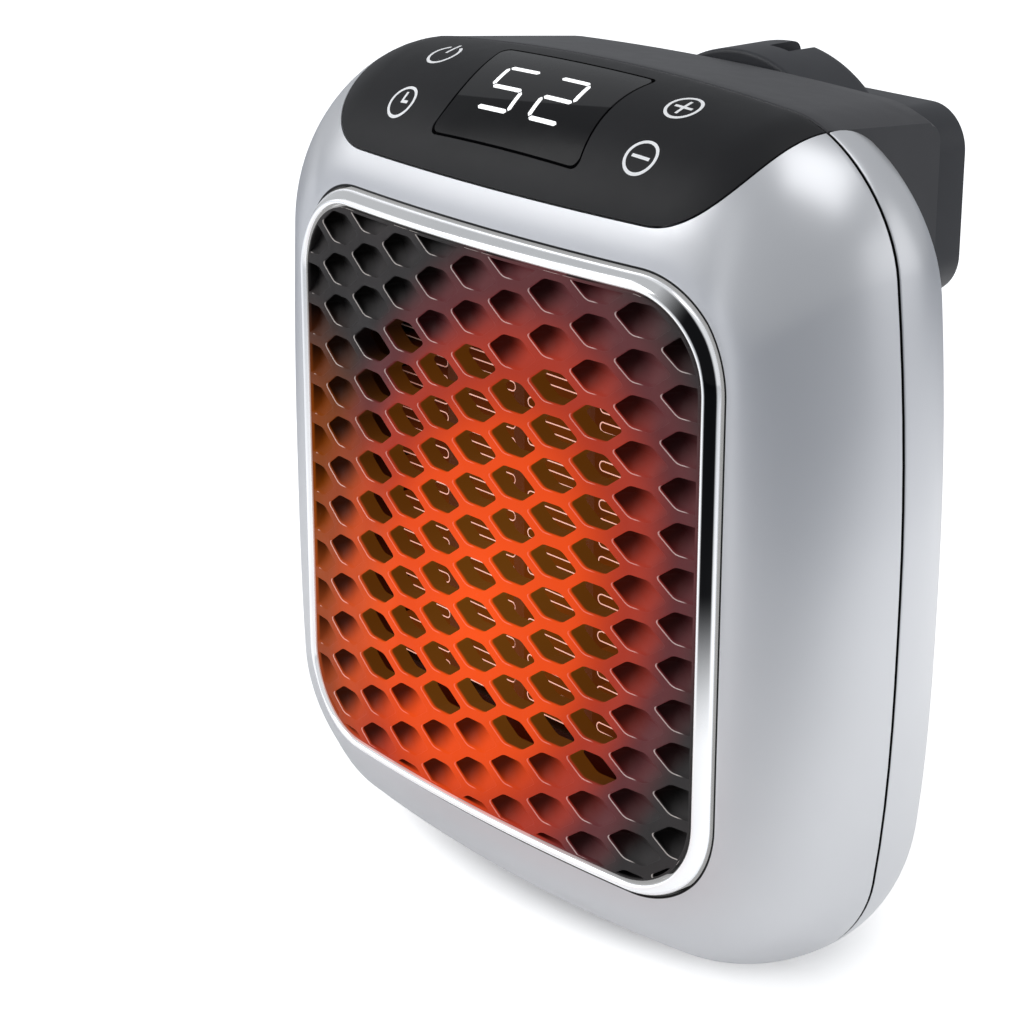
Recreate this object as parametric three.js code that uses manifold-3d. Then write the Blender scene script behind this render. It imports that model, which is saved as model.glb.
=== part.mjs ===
// Plug-in fan heater: silver clam-shell body, hexagonal front grille in a bright ring, control panel
// with a number display on top, ceramic heater and fan inside, and a plug that swivels at the back.
// Millimetres. X to the right, Y to the back, Z up. The pieces are set out from the parting line of
// the two shells at Y 0, and the whole is moved at the end so that its origin is the middle of the foot.
import * as THREE from 'three'
import { mergeVertices } from 'three/addons/utils/BufferGeometryUtils.js'
import Module from 'manifold-3d'

const wasm = await Module()
wasm.setup()

// Body
const bodyWidth = 135.2
const bodyHeight = 145.75
const sideCrown = 6.7
const endCrown = 4.3
const upperFade = 2
const lowerFade = 3
const topCornerRadius = 19.4
const bottomCornerRadius = 19
const standCut = 1.15
const frontDepth = 23
const rearDepth = 24
const wall = 2.8
const gap = 0.3
const overrun = 6
const seamLip = 1.1
const seamLipReach = 1.5
const rearFaceInset = 25.6
const rearFaceWidth = bodyWidth - rearFaceInset * 2
const rearFaceBottom = 19
const rearFaceDrop = 26.6
const rearFaceTop = bodyHeight - rearFaceDrop
const rearFaceRadius = 24
const rearFaceCrown = 1.2
const footWidth = 50
const footDepth = 19
const footHeight = 15
const footRadius = 6

// Grille and its ring
const grilleSideInset = 18.95
const grilleEndInset = 24.325
const grilleSink = 3.725
const grilleWidth = bodyWidth - grilleSideInset * 2
const grilleHeight = bodyHeight - grilleEndInset * 2
const grilleCentre = bodyHeight / 2 - grilleSink
const grilleRadius = 14
const grilleBulge = 3.2
const grilleReach = 25
const latticeDepth = 3.6
const pocketFloor = 1.4
const cellLength = 12.2
const cellFlat = 4.4
const cellHeight = 5.6
const cellPitchX = 9.35
const cellPitchZ = 7.27
const cellRise = 1.1
const grilleBorder = 1.5
const skirtWall = 1.8
const flangeReach = 4.2
const flangeThick = 1.8
const ringWidth = 2.6
const ringFall = 1.6
const ringRise = 0.5
const ringShoulder = 0.9
const openingLand = 0.7

// Control panel and display
const panelSideInset = 19
const panelFrontDrop = 18.2
const panelWidth = bodyWidth - panelSideInset * 2
const panelFront = bodyHeight - panelFrontDrop
const panelRadius = 14
const panelThick = 1.6
const windowWidth = 35
const windowFlare = 1.6
const windowLength = 22.4
const windowRadius = 2
const windowShift = -1.2
const windowThick = 0.7
const windowMidY = -13.2
const windowDrop = 7.2
const windowMidZ = bodyHeight - windowDrop
const panelDegrees = 32.5
const displayWidth = 30
const displayLength = 14
const boardDrop = 9
const boardSideInset = 4.6
const boardWidth = panelWidth - boardSideInset * 2
const boardLength = 19
const boardThick = 1.6
const displaySink = 2.6
const touchSpread = 57.6
const touchRearOffset = 5.4
const touchFrontOffset = -6.6
const touchRise = -1
const springRadius = 3.4
const springWaist = 2.6
const springWire = 0.6
const boardPostInset = 4
const boardPostSpread = boardWidth - boardPostInset * 2
const boardPostRadius = 2.4
const boardScrewRadius = 1
const boardScrewHead = 2
const boardScrewCap = 1.2

// Heater element behind the grille
const heaterSideInset = 15.65
const heaterEndInset = 15.55
const heaterWidth = grilleWidth - heaterSideInset * 2
const heaterHeight = grilleHeight - heaterEndInset * 2
const heaterFrameWall = 4.6
const heaterDepth = 11
const heaterFront = 19.4
const barThick = 2.6
const barCount = 3
const finPitch = 4.2
const finWall = 0.35
const finDepth = 9
const terminalWidth = 4.8
const terminalThick = 0.8
const terminalLength = 13
const cutoutRadius = 4
const cutoutHeight = 3.6

// Air duct, fan and motor
const ductWall = 1.8
const ductFlange = 3.4
const ductFlangeThick = 1.5
const ductLength = 13.6
const fanRingSpare = 2
const fanRingRadius = Math.min(heaterWidth, heaterHeight) / 2 + fanRingSpare
const fanRingLength = 12.5
const bracketThick = 1.8
const bracketHub = 13
const bracketArm = 4.6
const bracketArms = 4
const fanTipClear = 2.4
const fanRadius = fanRingRadius - fanTipClear
const fanHubRadius = 12
const fanHubLength = 9.5
const fanHubWall = 1.8
const fanClear = 1.4
const bladeCount = 7
const bladeThick = 1.3
const bladeRootChord = 11
const bladeTipChord = 17
const bladeRootDegrees = 46
const bladeTipDegrees = 24
const motorRadius = 12.5
const motorClear = 2.6
const motorBossRadius = 4.2
const motorBossLength = 1.4
const shaftRadius = 1.5
const shaftClear = 0.06
const bearingRadius = 3.2
const ductPostRadius = 2.6

// Screws that hold the two shells
const shellScrewSideInset = 10.1
const shellScrewDrop = 44.6
const shellScrewSide = bodyWidth / 2 - shellScrewSideInset
const shellScrewHigh = bodyHeight - shellScrewDrop
const shellScrewIn = 30
const shellScrewLow = 8
const shellPostRadius = 3.6
const shellScrewRadius = 1.4
const shellScrewHead = 2.7
const shellScrewCap = 2
const shellWellSeat = 9
const shellWellClear = 0.5
const shellScrewBite = 7

// Intake slots and power rocker
const slotHeight = 3.4
const slotPitch = 7
const slotLow = 41.65
const slotCoverClear = 4.8
const slotRibs = 1
const slotRib = 3
const slotCircleInset = 8
const rockerHeight = 27.65
const rockerCutWidth = 19
const rockerCutHeight = 12.6
const rockerBezel = 1.4
const rockerBezelThick = 1.4
const rockerBodyDepth = 12
const rockerWidth = 15.4
const rockerHigh = 9.4
const rockerDegrees = 10
const rockerRise = 2.2
const rockerSink = 4.4
const rockerPinRadius = 1
const rockerPinLength = 0.8
const rockerSwing = 1

// Rear top cover, which carries the swivelling plug
const coverDepth = 30
const coverTaper = 3.6
const coverReach = 14
const coverRearRise = 3
const coverBottom = grilleCentre + coverReach
const coverRadius = 14
const coverRearDrop = 3.9
const coverRearNarrow = 5.2
const coverRearRadius = 20
const coverRearCrown = 1.8
const coverEdge = 3
const coverWall = 2.5
const coverTabWidth = 12
const coverTabHeight = 11
const coverTabThick = 3
const coverTabInset = 15.6
const coverTabSide = panelWidth / 2 - coverTabInset
const coverScrewDrop = 6.5
const coverScrewRadius = 1.3
const coverScrewHead = 2.6
const coverScrewCap = 1.3

// Swivelling plug
const swivelDrop = 29.8
const swivelHeight = bodyHeight - swivelDrop
const turretRadius = 26.5
const turretLength = 14.7
const turretEdge = 1.5
const turretRim = 4
const turretNotchDeep = 2.6
const turretNotchWide = 5.5
const turretNotchLong = 8
const neckRadius = 14
const neckBore = 10.5
const neckReach = 8
const retainerRadius = 18
const retainerThick = 2.2
const washerRadius = 18.6
const washerThick = 0.5
const stopReach = 4
const stopWidth = 4.6
const swivelDegrees = 90
const stopSpareDegrees = 0.6
const plugWidth = 50.6
const plugHeight = 34
const plugLength = 14.7
const plugRadius = 8
const plugDraft = 0.5
const plugWall = 2.6
const plugFaceThick = 2.4
const plugFaceLip = 1.6
const bladeSpacing = 12.7
const pinWide = 6.35
const pinThick = 1.5
const pinReach = 16.5
const pinTail = 8.5
const pinTip = 1.6
const plugScrewSpacing = 34
const plugScrewRadius = 1.3
const plugScrewHead = 2.5
const plugScrewCap = 1.4
const plugPostRadius = 3.4

// Swivel contacts and power board
const contactBoardWidth = 62
const contactBoardHeight = 27
const contactBoardThick = 1.5
const contactSetback = 1.2
const contactInner = 3.6
const contactOuter = 7.4
const contactWidth = 2.2
const contactThick = 0.5
const brushWidth = 1.4
const contactPostInset = 4
const contactPostSide = contactBoardWidth / 2 - contactPostInset
const contactPostRadius = 2.4
const powerBoardSideInset = 9.6
const powerBoardWidth = panelWidth - powerBoardSideInset * 2
const powerBoardHeight = 34
const powerBoardFront = 10
const powerBoardThick = 1.6
const powerBoardRise = 0.7
const powerBoardCentre = swivelHeight + powerBoardRise
const powerPostInset = 4
const powerPostSide = powerBoardWidth / 2 - powerPostInset
const powerPostRise = 13
const powerPostRadius = 2.3
const relayWidth = 12
const relayHeight = 16
const relayDepth = 11
const relaySide = 22.5
const relayRise = 6
const filmCapWidth = 13
const filmCapHeight = 11
const filmCapDepth = 6
const filmCapSide = -22
const filmCapRise = 2
const smoothCapRadius = 4
const smoothCapLength = 10
const smoothCapSide = 4
const smoothCapRise = 6
const chipWidth = 9
const chipHeight = 7
const chipDepth = 1.8
const chipSide = -21.5
const chipRise = -9.5

// How finely curves are cut into facets
const cornerSteps = 4
const sideSteps = 4
const straightSteps = 1
const depthSteps = 5
const bulgeSteps = 4
const roundSteps = 20
const smallSteps = 6
const slotEndSteps = 2
const edgeSteps = 3
const bladeSteps = 4
const leastRadiusShare = 0.25
const tinyGap = 0.001

// Finishes
const finish = (color, roughness, metalness = 0) =>
  new THREE.MeshStandardMaterial({ color, roughness, metalness })
const silver = finish('#c9cdd3', 0.32, 0.25)
const charcoal = finish('#3a3b3e', 0.5)
const blackGloss = finish('#121315', 0.12)
const chrome = finish('#e6e8ea', 0.08, 1)
const grilleBlack = finish('#3b3a3c', 0.55)
const heatPlastic = finish('#2b2724', 0.6)
const aluminium = finish('#b9bcc0', 0.35, 0.9)
const ceramic = finish('#d8cfc2', 0.7)
const brass = finish('#c9a45a', 0.3, 0.9)
const steel = finish('#a9adb2', 0.35, 0.9)
const ductGrey = finish('#4a4c50', 0.6)
const fanPlastic = finish('#2f3236', 0.45)
const boardGreen = finish('#1f5a38', 0.5)
const partBlack = finish('#1b1c1e', 0.45)
const relayBlue = finish('#2c5fa8', 0.4)
const capYellow = finish('#c7a62f', 0.4)

// Solids and booleans

function toSolid(geometry) {
  const bare = geometry.clone()
  bare.deleteAttribute('normal')
  bare.deleteAttribute('uv')
  const merged = mergeVertices(bare, tinyGap)
  return new wasm.Manifold(new wasm.Mesh({
    numProp: 3,
    vertProperties: new Float32Array(merged.attributes.position.array),
    triVerts: new Uint32Array(merged.index.array),
  }))
}

function toGeometry(solid) {
  const mesh = solid.getMesh()
  const geometry = new THREE.BufferGeometry()
  geometry.setAttribute('position', new THREE.BufferAttribute(new Float32Array(mesh.vertProperties), 3))
  geometry.setIndex(new THREE.BufferAttribute(new Uint32Array(mesh.triVerts), 1))
  geometry.computeVertexNormals()
  return geometry
}

const bothSides = [-1, 1]
const join = (...solids) => solids.reduce((all, next) => all.add(next))
const cut = (solid, ...tools) => tools.reduce((left, tool) => left.subtract(tool), solid)

// Outlines: rounded rectangles whose sides and ends can swell outwards, as [x, z] points

function outline(spec) {
  const { halfWidth, top, bottom, topRadius, bottomRadius, side = 0, end = 0, steps = sideSteps } = spec
  const middle = (top + bottom) / 2
  const halfHeight = (top - bottom) / 2
  const corners = [
    [halfWidth - topRadius, top - topRadius, topRadius],
    [topRadius - halfWidth, top - topRadius, topRadius],
    [bottomRadius - halfWidth, bottom + bottomRadius, bottomRadius],
    [halfWidth - bottomRadius, bottom + bottomRadius, bottomRadius],
  ]
  const arcs = corners.map(([x, z, radius], quarter) => {
    const points = []
    for (let step = 0; step <= cornerSteps; step++) {
      const angle = (quarter + step / cornerSteps) * Math.PI / 2
      points.push([x + radius * Math.cos(angle), z + radius * Math.sin(angle)])
    }
    return points
  })
  const points = []
  arcs.forEach((arc, quarter) => {
    const [endX, endZ] = arc[cornerSteps]
    const [nextX, nextZ] = arcs[(quarter + 1) % arcs.length][0]
    points.push(...arc)
    for (let step = 1; step < steps; step++) {
      const share = step / steps
      points.push([endX + (nextX - endX) * share, endZ + (nextZ - endZ) * share])
    }
  })
  return points.map(([x, z]) => {
    const rise = (z - middle) / halfHeight
    const run = x / halfWidth
    const fade = Math.abs(rise) ** (rise < 0 ? lowerFade : upperFade)
    return [x + side * run * (1 - fade), z + end * rise * (1 - run * run)]
  })
}

const insetSpec = (spec, inset) => ({
  ...spec,
  halfWidth: spec.halfWidth - inset,
  top: spec.top - inset,
  bottom: spec.bottom + inset,
  topRadius: Math.max(spec.topRadius - inset, spec.topRadius * leastRadiusShare),
  bottomRadius: Math.max(spec.bottomRadius - inset, spec.bottomRadius * leastRadiusShare),
})

function mixSpec(from, to, share) {
  const mixed = {}
  for (const key of Object.keys(to)) mixed[key] = from[key] + (to[key] - from[key]) * share
  return mixed
}

// A closed skin through rings of [x, y, z] points that run from front to back

function loft(rings) {
  const count = rings[0].length
  const positions = rings.flat(2)
  const indices = []
  for (let row = 0; row < rings.length - 1; row++) {
    for (let column = 0; column < count; column++) {
      const a = row * count + column
      const b = row * count + (column + 1) % count
      indices.push(a, a + count, b + count, a, b + count, b)
    }
  }
  const closeEnd = (ring, start, flip) => {
    const centre = positions.length / 3
    const mean = axis => ring.reduce((sum, point) => sum + point[axis], 0) / count
    positions.push(mean(0), mean(1), mean(2))
    for (let column = 0; column < count; column++) {
      const a = start + column
      const b = start + (column + 1) % count
      if (flip) indices.push(centre, b, a)
      else indices.push(centre, a, b)
    }
  }
  closeEnd(rings[0], 0, false)
  closeEnd(rings[rings.length - 1], (rings.length - 1) * count, true)
  const geometry = new THREE.BufferGeometry()
  geometry.setAttribute('position', new THREE.Float32BufferAttribute(positions, 3))
  geometry.setIndex(indices)
  return toSolid(geometry)
}

const ringAt = (spec, y) => outline(spec).map(([x, z]) => [x, y, z])
const barrel = (spec, front, back) => loft([ringAt(spec, front), ringAt(spec, back)])

// Plain shapes

function box(x0, x1, y0, y1, z0, z1) {
  const geometry = new THREE.BoxGeometry(x1 - x0, y1 - y0, z1 - z0)
  geometry.translate((x0 + x1) / 2, (y0 + y1) / 2, (z0 + z1) / 2)
  return toSolid(geometry)
}

// A round bar or disc along Y, from front to back
function rod(radius, front, back, x, z, steps = smallSteps) {
  const geometry = new THREE.CylinderGeometry(radius, radius, back - front, steps)
  geometry.translate(x, (front + back) / 2, z)
  return toSolid(geometry)
}

// A turned piece about Y from [radius, y] points
function turned(profile, x, z, steps = roundSteps) {
  const points = profile.map(([radius, y]) => new THREE.Vector2(radius, y))
  const geometry = new THREE.LatheGeometry(points, steps)
  geometry.translate(x, 0, z)
  const solid = toSolid(geometry)
  return solid.volume() > 0 ? solid : toSolid(flipFaces(geometry))
}

function flipFaces(geometry) {
  const index = geometry.index.array
  for (let at = 0; at < index.length; at += 3) [index[at], index[at + 1]] = [index[at + 1], index[at]]
  return geometry
}

const tube = (outer, inner, front, back, x, z, steps = roundSteps) =>
  turned([[inner, front], [outer, front], [outer, back], [inner, back], [inner, front]], x, z, steps)

// A shape drawn as seen from the front, made solid from front to back
function prism(shape, front, back, steps = smallSteps) {
  const geometry = new THREE.ExtrudeGeometry(shape, {
    depth: back - front, bevelEnabled: false, curveSegments: steps,
  })
  geometry.rotateX(Math.PI / 2)
  geometry.translate(0, back, 0)
  return toSolid(geometry)
}

function roundedShape(width, height, radius, x, z) {
  const halfX = width / 2 - radius
  const halfZ = height / 2 - radius
  const shape = new THREE.Shape()
  shape.absarc(x + halfX, z + halfZ, radius, 0, Math.PI / 2)
  shape.absarc(x - halfX, z + halfZ, radius, Math.PI / 2, Math.PI)
  shape.absarc(x - halfX, z - halfZ, radius, Math.PI, Math.PI * 1.5)
  shape.absarc(x + halfX, z - halfZ, radius, Math.PI * 1.5, Math.PI * 2)
  return shape
}

const polygon = points => new THREE.Shape(points.map(([x, z]) => new THREE.Vector2(x, z)))

// Body skins. Each takes an inset, so that one rule gives the outside, the inside and what lies between

const seamSpec = {
  halfWidth: bodyWidth / 2 - sideCrown,
  top: bodyHeight - standCut - endCrown,
  bottom: endCrown - standCut,
  topRadius: topCornerRadius,
  bottomRadius: bottomCornerRadius,
  side: sideCrown,
  end: endCrown,
}
const openingHalfWidth = grilleWidth / 2 + gap + ringWidth + gap
const openingHalfHeight = grilleHeight / 2 + gap + ringWidth + gap
const openingRadius = grilleRadius + ringWidth + gap
const frontSpec = {
  halfWidth: openingHalfWidth + openingLand,
  top: grilleCentre + openingHalfHeight + openingLand,
  bottom: grilleCentre - openingHalfHeight - openingLand,
  topRadius: openingRadius,
  bottomRadius: openingRadius,
  side: 0,
  end: 0,
}
const rearSpec = {
  halfWidth: rearFaceWidth / 2,
  top: rearFaceTop,
  bottom: rearFaceBottom,
  topRadius: rearFaceRadius,
  bottomRadius: rearFaceRadius,
  side: rearFaceCrown,
  end: rearFaceCrown,
}

const bulgeAt = x => {
  const share = Math.min(Math.abs(x) / (grilleWidth / 2), 1)
  return grilleBulge * (1 - share * share)
}

function frontSkin(inset, reach = 0) {
  const rings = []
  for (let step = 0; step < depthSteps; step++) {
    const angle = step / (depthSteps - 1) * Math.PI / 2
    const spec = mixSpec(frontSpec, insetSpec(seamSpec, inset), Math.sin(angle))
    rings.push(outline(spec).map(([x, z]) => [x, -(frontDepth - inset + bulgeAt(x)) * Math.cos(angle), z]))
  }
  if (reach > 0) rings.push(ringAt(insetSpec(seamSpec, inset), reach))
  return loft(rings)
}

function rearSkin(inset, reach = 0) {
  const rings = reach > 0 ? [ringAt(insetSpec(seamSpec, inset), gap - reach)] : []
  for (let step = 0; step < depthSteps; step++) {
    const angle = step / (depthSteps - 1) * Math.PI / 2
    const spec = mixSpec(rearSpec, insetSpec(seamSpec, inset), Math.cos(angle))
    rings.push(ringAt(spec, gap + (rearDepth - gap - inset) * Math.sin(angle)))
  }
  return loft(rings)
}

// The cover's own block: the seam outline drawn back to a slightly smaller rear face, with a soft edge
function coverBlock(inset, reach = 0) {
  const seam = insetSpec(seamSpec, inset)
  const rear = insetSpec({
    halfWidth: seamSpec.halfWidth - coverRearNarrow,
    top: seamSpec.top + seamSpec.end - coverRearDrop - coverRearCrown,
    bottom: seamSpec.bottom,
    topRadius: coverRearRadius,
    bottomRadius: seamSpec.bottomRadius,
    side: seamSpec.side,
    end: coverRearCrown,
  }, inset)
  const edgeStart = (coverDepth - coverEdge) / coverDepth
  const rings = reach > 0 ? [ringAt(seam, gap - reach)] : []
  rings.push(ringAt(seam, gap), ringAt(mixSpec(seam, rear, edgeStart), coverDepth - coverEdge))
  for (let turn = 1; turn <= edgeSteps; turn++) {
    const angle = turn / edgeSteps * Math.PI / 2
    const spec = insetSpec(rear, coverEdge * (1 - Math.cos(angle)))
    rings.push(ringAt(spec, coverDepth - coverEdge + (coverEdge - inset) * Math.sin(angle)))
  }
  return loft(rings)
}

// The tapering box, as seen from the front, that says how wide and how low the cover is
function coverRegion(inset, front, back) {
  const high = bodyHeight + overrun
  const specAt = y => ({
    halfWidth: panelWidth / 2 - coverTaper * (y / coverDepth) - inset,
    top: high,
    bottom: coverBottom + coverRearRise * (y / coverDepth) + inset,
    topRadius: overrun / 2,
    bottomRadius: Math.max(coverRadius - inset, coverRadius / 2),
    steps: straightSteps,
  })
  return loft([ringAt(specAt(front), front), ringAt(specAt(back), back)])
}

// A frame for pieces that follow the slope of the control panel: origin on the panel's middle

const slope = THREE.MathUtils.degToRad(panelDegrees)

function onPanel(geometry, x, along, out) {
  geometry.rotateX(slope)
  geometry.translate(x, windowMidY + along * Math.cos(slope) - out * Math.sin(slope),
    windowMidZ + along * Math.sin(slope) + out * Math.cos(slope))
  return toSolid(geometry)
}

function slopedBox(width, length, low, high, x, along) {
  const geometry = new THREE.BoxGeometry(width, length, high - low)
  geometry.translate(0, 0, (low + high) / 2)
  return onPanel(geometry, x, along, 0)
}

function slopedPrism(shape, low, high, steps) {
  const geometry = new THREE.ExtrudeGeometry(shape, {
    depth: high - low, bevelEnabled: false, curveSegments: steps,
  })
  geometry.translate(0, 0, low)
  return onPanel(geometry, 0, 0, 0)
}

function slopedRod(radius, low, high, x, along, steps = smallSteps) {
  const geometry = new THREE.CylinderGeometry(radius, radius, high - low, steps)
  geometry.rotateX(Math.PI / 2)
  geometry.translate(0, 0, (low + high) / 2)
  return onPanel(geometry, x, along, 0)
}

// Panel, window and the places under them

function panelRegion(grow) {
  const width = panelWidth + grow * 2
  const low = panelFront - grow
  const high = bodyHeight + overrun
  const height = high - low + panelRadius
  const shape = roundedShape(width, height, panelRadius, 0, low + height / 2)
  return prism(shape, -(frontDepth + grilleBulge + overrun), grow > 0 ? overrun : 0)
}

function windowShape(grow) {
  const half = windowWidth / 2 + grow
  const back = windowLength / 2 + grow
  const flare = windowFlare
  const shape = new THREE.Shape()
  shape.moveTo(windowShift - half + windowRadius, -back)
  shape.lineTo(windowShift + half - windowRadius, -back)
  shape.quadraticCurveTo(windowShift + half, -back, windowShift + half, -back + windowRadius)
  shape.quadraticCurveTo(windowShift + half - flare, 0, windowShift + half + flare / 2, back)
  shape.lineTo(windowShift - half - flare / 2, back)
  shape.quadraticCurveTo(windowShift - half + flare, 0, windowShift - half, -back + windowRadius)
  shape.quadraticCurveTo(windowShift - half, -back, windowShift - half + windowRadius, -back)
  return shape
}

const windowRegion = grow => slopedPrism(windowShape(grow), -boardDrop, boardDrop, cornerSteps)
const boardTop = -boardDrop
const seatBottom = touchRise - wall
const touchPlaces = [
  ['power', -touchSpread / 2, touchRearOffset],
  ['timer', -touchSpread / 2, touchFrontOffset],
  ['plus', touchSpread / 2, touchRearOffset],
  ['minus', touchSpread / 2, touchFrontOffset],
]
const boardMid = (touchRearOffset + touchFrontOffset) / 2
const boardScrewPlaces = [-boardPostSpread / 2, boardPostSpread / 2]

function controlPanel() {
  const skin = frontSkin(0).intersect(panelRegion(0))
  const sunken = windowRegion(gap).subtract(frontSkin(windowThick + gap, overrun))
  const throughHole = slopedBox(displayWidth, displayLength, -boardDrop, boardDrop, windowShift, 0)
  return cut(skin, frontSkin(panelThick, overrun), sunken, throughHole)
}

function displayWindow() {
  return frontSkin(0).intersect(windowRegion(0)).subtract(frontSkin(windowThick, overrun))
}

// What lies under the flat that the heater stands on
const belowStand = () => box(-bodyWidth, bodyWidth, -bodyHeight, bodyHeight, -bodyHeight, 0)

// Shell screws sit in deep wells at four places, mirrored left and right

const shellScrewPlaces = [
  [-shellScrewSide, shellScrewHigh],
  [shellScrewSide, shellScrewHigh],
  [-shellScrewIn, shellScrewLow],
  [shellScrewIn, shellScrewLow],
]

function frontShell() {
  const outside = frontSkin(0)
  const inside = frontSkin(wall, overrun)
  const opening = barrel({
    halfWidth: openingHalfWidth,
    top: grilleCentre + openingHalfHeight,
    bottom: grilleCentre - openingHalfHeight,
    topRadius: openingRadius,
    bottomRadius: openingRadius,
    steps: straightSteps,
  }, -(frontDepth + grilleBulge + overrun), 0)
  const recess = panelRegion(gap).subtract(frontSkin(panelThick + gap, overrun))
  const displayHole = slopedBox(displayWidth + gap, displayLength + gap, -boardDrop, boardDrop,
    windowShift, 0)
  let shell = cut(outside, inside)
  for (const [x, z] of shellScrewPlaces) {
    const post = rod(shellPostRadius, -(frontDepth + grilleBulge), -gap / 2, x, z)
    const bore = rod(shellScrewRadius + gap, -shellScrewBite - gap, overrun, x, z)
    shell = join(shell, post.intersect(outside)).subtract(bore)
  }
  for (const x of boardScrewPlaces) {
    const post = slopedRod(boardPostRadius, boardTop + gap, wall, x, boardMid)
      .intersect(frontSkin(wall / 2))
    const bore = slopedRod(boardScrewRadius + gap / 2, boardTop, boardTop + wall + gap, x, boardMid)
    shell = join(shell, post).subtract(bore)
  }
  return cut(shell, opening, recess, displayHole, belowStand())
}

// The ring's section goes round the grille: [out from the grille, towards the back]

function grilleRing() {
  const section = [
    [0, 0],
    [ringShoulder, -ringRise],
    [ringWidth - ringShoulder, ringFall / 2 - ringRise],
    [ringWidth, ringFall],
    [ringWidth, grilleReach - (frontDepth - wall)],
    [0, grilleReach - (frontDepth - wall)],
  ]
  const path = section.map(([out, back]) => outline({
    halfWidth: grilleWidth / 2 + gap + out,
    top: grilleCentre + grilleHeight / 2 + gap + out,
    bottom: grilleCentre - grilleHeight / 2 - gap - out,
    topRadius: grilleRadius + out,
    bottomRadius: grilleRadius + out,
  }).map(([x, z]) => [x, back - grilleReach - bulgeAt(x), z]))
  const count = path[0].length
  const indices = []
  for (let row = 0; row < section.length; row++) {
    const next = (row + 1) % section.length
    for (let column = 0; column < count; column++) {
      const a = row * count + column
      const b = row * count + (column + 1) % count
      const c = next * count + (column + 1) % count
      const d = next * count + column
      indices.push(a, b, c, a, c, d)
    }
  }
  const geometry = new THREE.BufferGeometry()
  geometry.setAttribute('position', new THREE.Float32BufferAttribute(path.flat(2), 3))
  geometry.setIndex(indices)
  const solid = toSolid(geometry)
  return solid.volume() > 0 ? solid : toSolid(flipFaces(geometry))
}

// A slab that follows the grille's bulge, between two distances behind the grille's front

function bulgedSlab(front, back) {
  const reach = grilleWidth / 2 + flangeReach + overrun
  const arc = offset => {
    const points = [[-reach, offset - grilleReach]]
    for (let step = 0; step <= bulgeSteps; step++) {
      const x = grilleWidth * (step / bulgeSteps - 1 / 2)
      points.push([x, offset - grilleReach - bulgeAt(x)])
    }
    points.push([reach, offset - grilleReach])
    return points
  }
  const shape = polygon([...arc(front), ...arc(back).reverse()])
  const height = grilleHeight + (flangeReach + overrun) * 2
  const geometry = new THREE.ExtrudeGeometry(shape, { depth: height, bevelEnabled: false })
  geometry.translate(0, 0, grilleCentre - height / 2)
  return toSolid(geometry)
}

const grilleSpec = grow => ({
  halfWidth: grilleWidth / 2 + grow,
  top: grilleCentre + grilleHeight / 2 + grow,
  bottom: grilleCentre - grilleHeight / 2 - grow,
  topRadius: grilleRadius + grow,
  bottomRadius: grilleRadius + grow,
  steps: straightSteps,
})

// Elongated hexagons in staggered columns. Those in front of the heater go right through
function grilleCells() {
  const columns = Math.ceil(grilleWidth / 2 / cellPitchX)
  const rows = Math.ceil(grilleHeight / 2 / cellPitchZ) + 1
  const tip = cellLength / 2
  const flat = cellFlat / 2
  const half = cellHeight / 2
  const through = []
  const blind = []
  for (let column = -columns; column <= columns; column++) {
    for (let row = -rows; row <= rows; row++) {
      const x = column * cellPitchX
      const z = grilleCentre + cellRise + (row + (column % 2 ? 1 / 2 : 0)) * cellPitchZ
      const inHeater = Math.abs(x) + flat < heaterWidth / 2 && Math.abs(z - grilleCentre) < heaterHeight / 2
      const list = inHeater ? through : blind
      list.push(polygon([
        [x + tip, z], [x + flat, z + half], [x - flat, z + half],
        [x - tip, z], [x - flat, z - half], [x + flat, z - half],
      ]))
    }
  }
  return { through, blind }
}

function frontGrille() {
  const { through, blind } = grilleCells()
  const skirtBack = grilleReach - (frontDepth - wall) + gap + flangeThick
  const reach = grilleReach + grilleBulge + overrun
  const field = barrel(grilleSpec(-grilleBorder), -reach, overrun)
  const prisms = (shapes, back) => {
    if (!shapes.length) return null
    const geometry = new THREE.ExtrudeGeometry(shapes, { depth: reach + back, bevelEnabled: false })
    geometry.rotateX(Math.PI / 2)
    geometry.translate(0, back, 0)
    return toSolid(geometry).intersect(field)
  }
  const plate = bulgedSlab(0, latticeDepth).intersect(barrel(grilleSpec(0), -reach, overrun))
  const holes = prisms(through, 0)
  const pockets = prisms(blind, 0).subtract(bulgedSlab(latticeDepth - pocketFloor, grilleReach + overrun))
  const skirt = bulgedSlab(latticeDepth / 2, skirtBack)
    .intersect(barrel(grilleSpec(0), -reach, overrun))
    .subtract(barrel(grilleSpec(-skirtWall), -reach, overrun))
  const flange = bulgedSlab(skirtBack - flangeThick, skirtBack)
    .intersect(barrel(grilleSpec(flangeReach), -reach, overrun))
    .subtract(barrel(grilleSpec(-skirtWall), -reach, overrun))
  return cut(join(plate, skirt, flange), holes, pockets)
}

// Heater element: ceramic bars upright, with folded fins between them

const heaterBack = heaterDepth - heaterFront
const bankWidth = (heaterWidth - barCount * barThick - (barCount + 1) * 2 * gap) / (barCount + 1)
const bankPitch = bankWidth + barThick + 2 * gap
const bankStart = -heaterWidth / 2 + gap

const heaterFrame = () => mouth(0, heaterFrameWall, -heaterFront, heaterBack)

function heatingBar(index) {
  const left = bankStart + bankWidth + gap + index * bankPitch
  const half = heaterHeight / 2 - gap
  const back = heaterBack - heaterDepth / 2 + finDepth / 2
  return box(left, left + barThick, back - finDepth, back, grilleCentre - half, grilleCentre + half)
}

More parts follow.
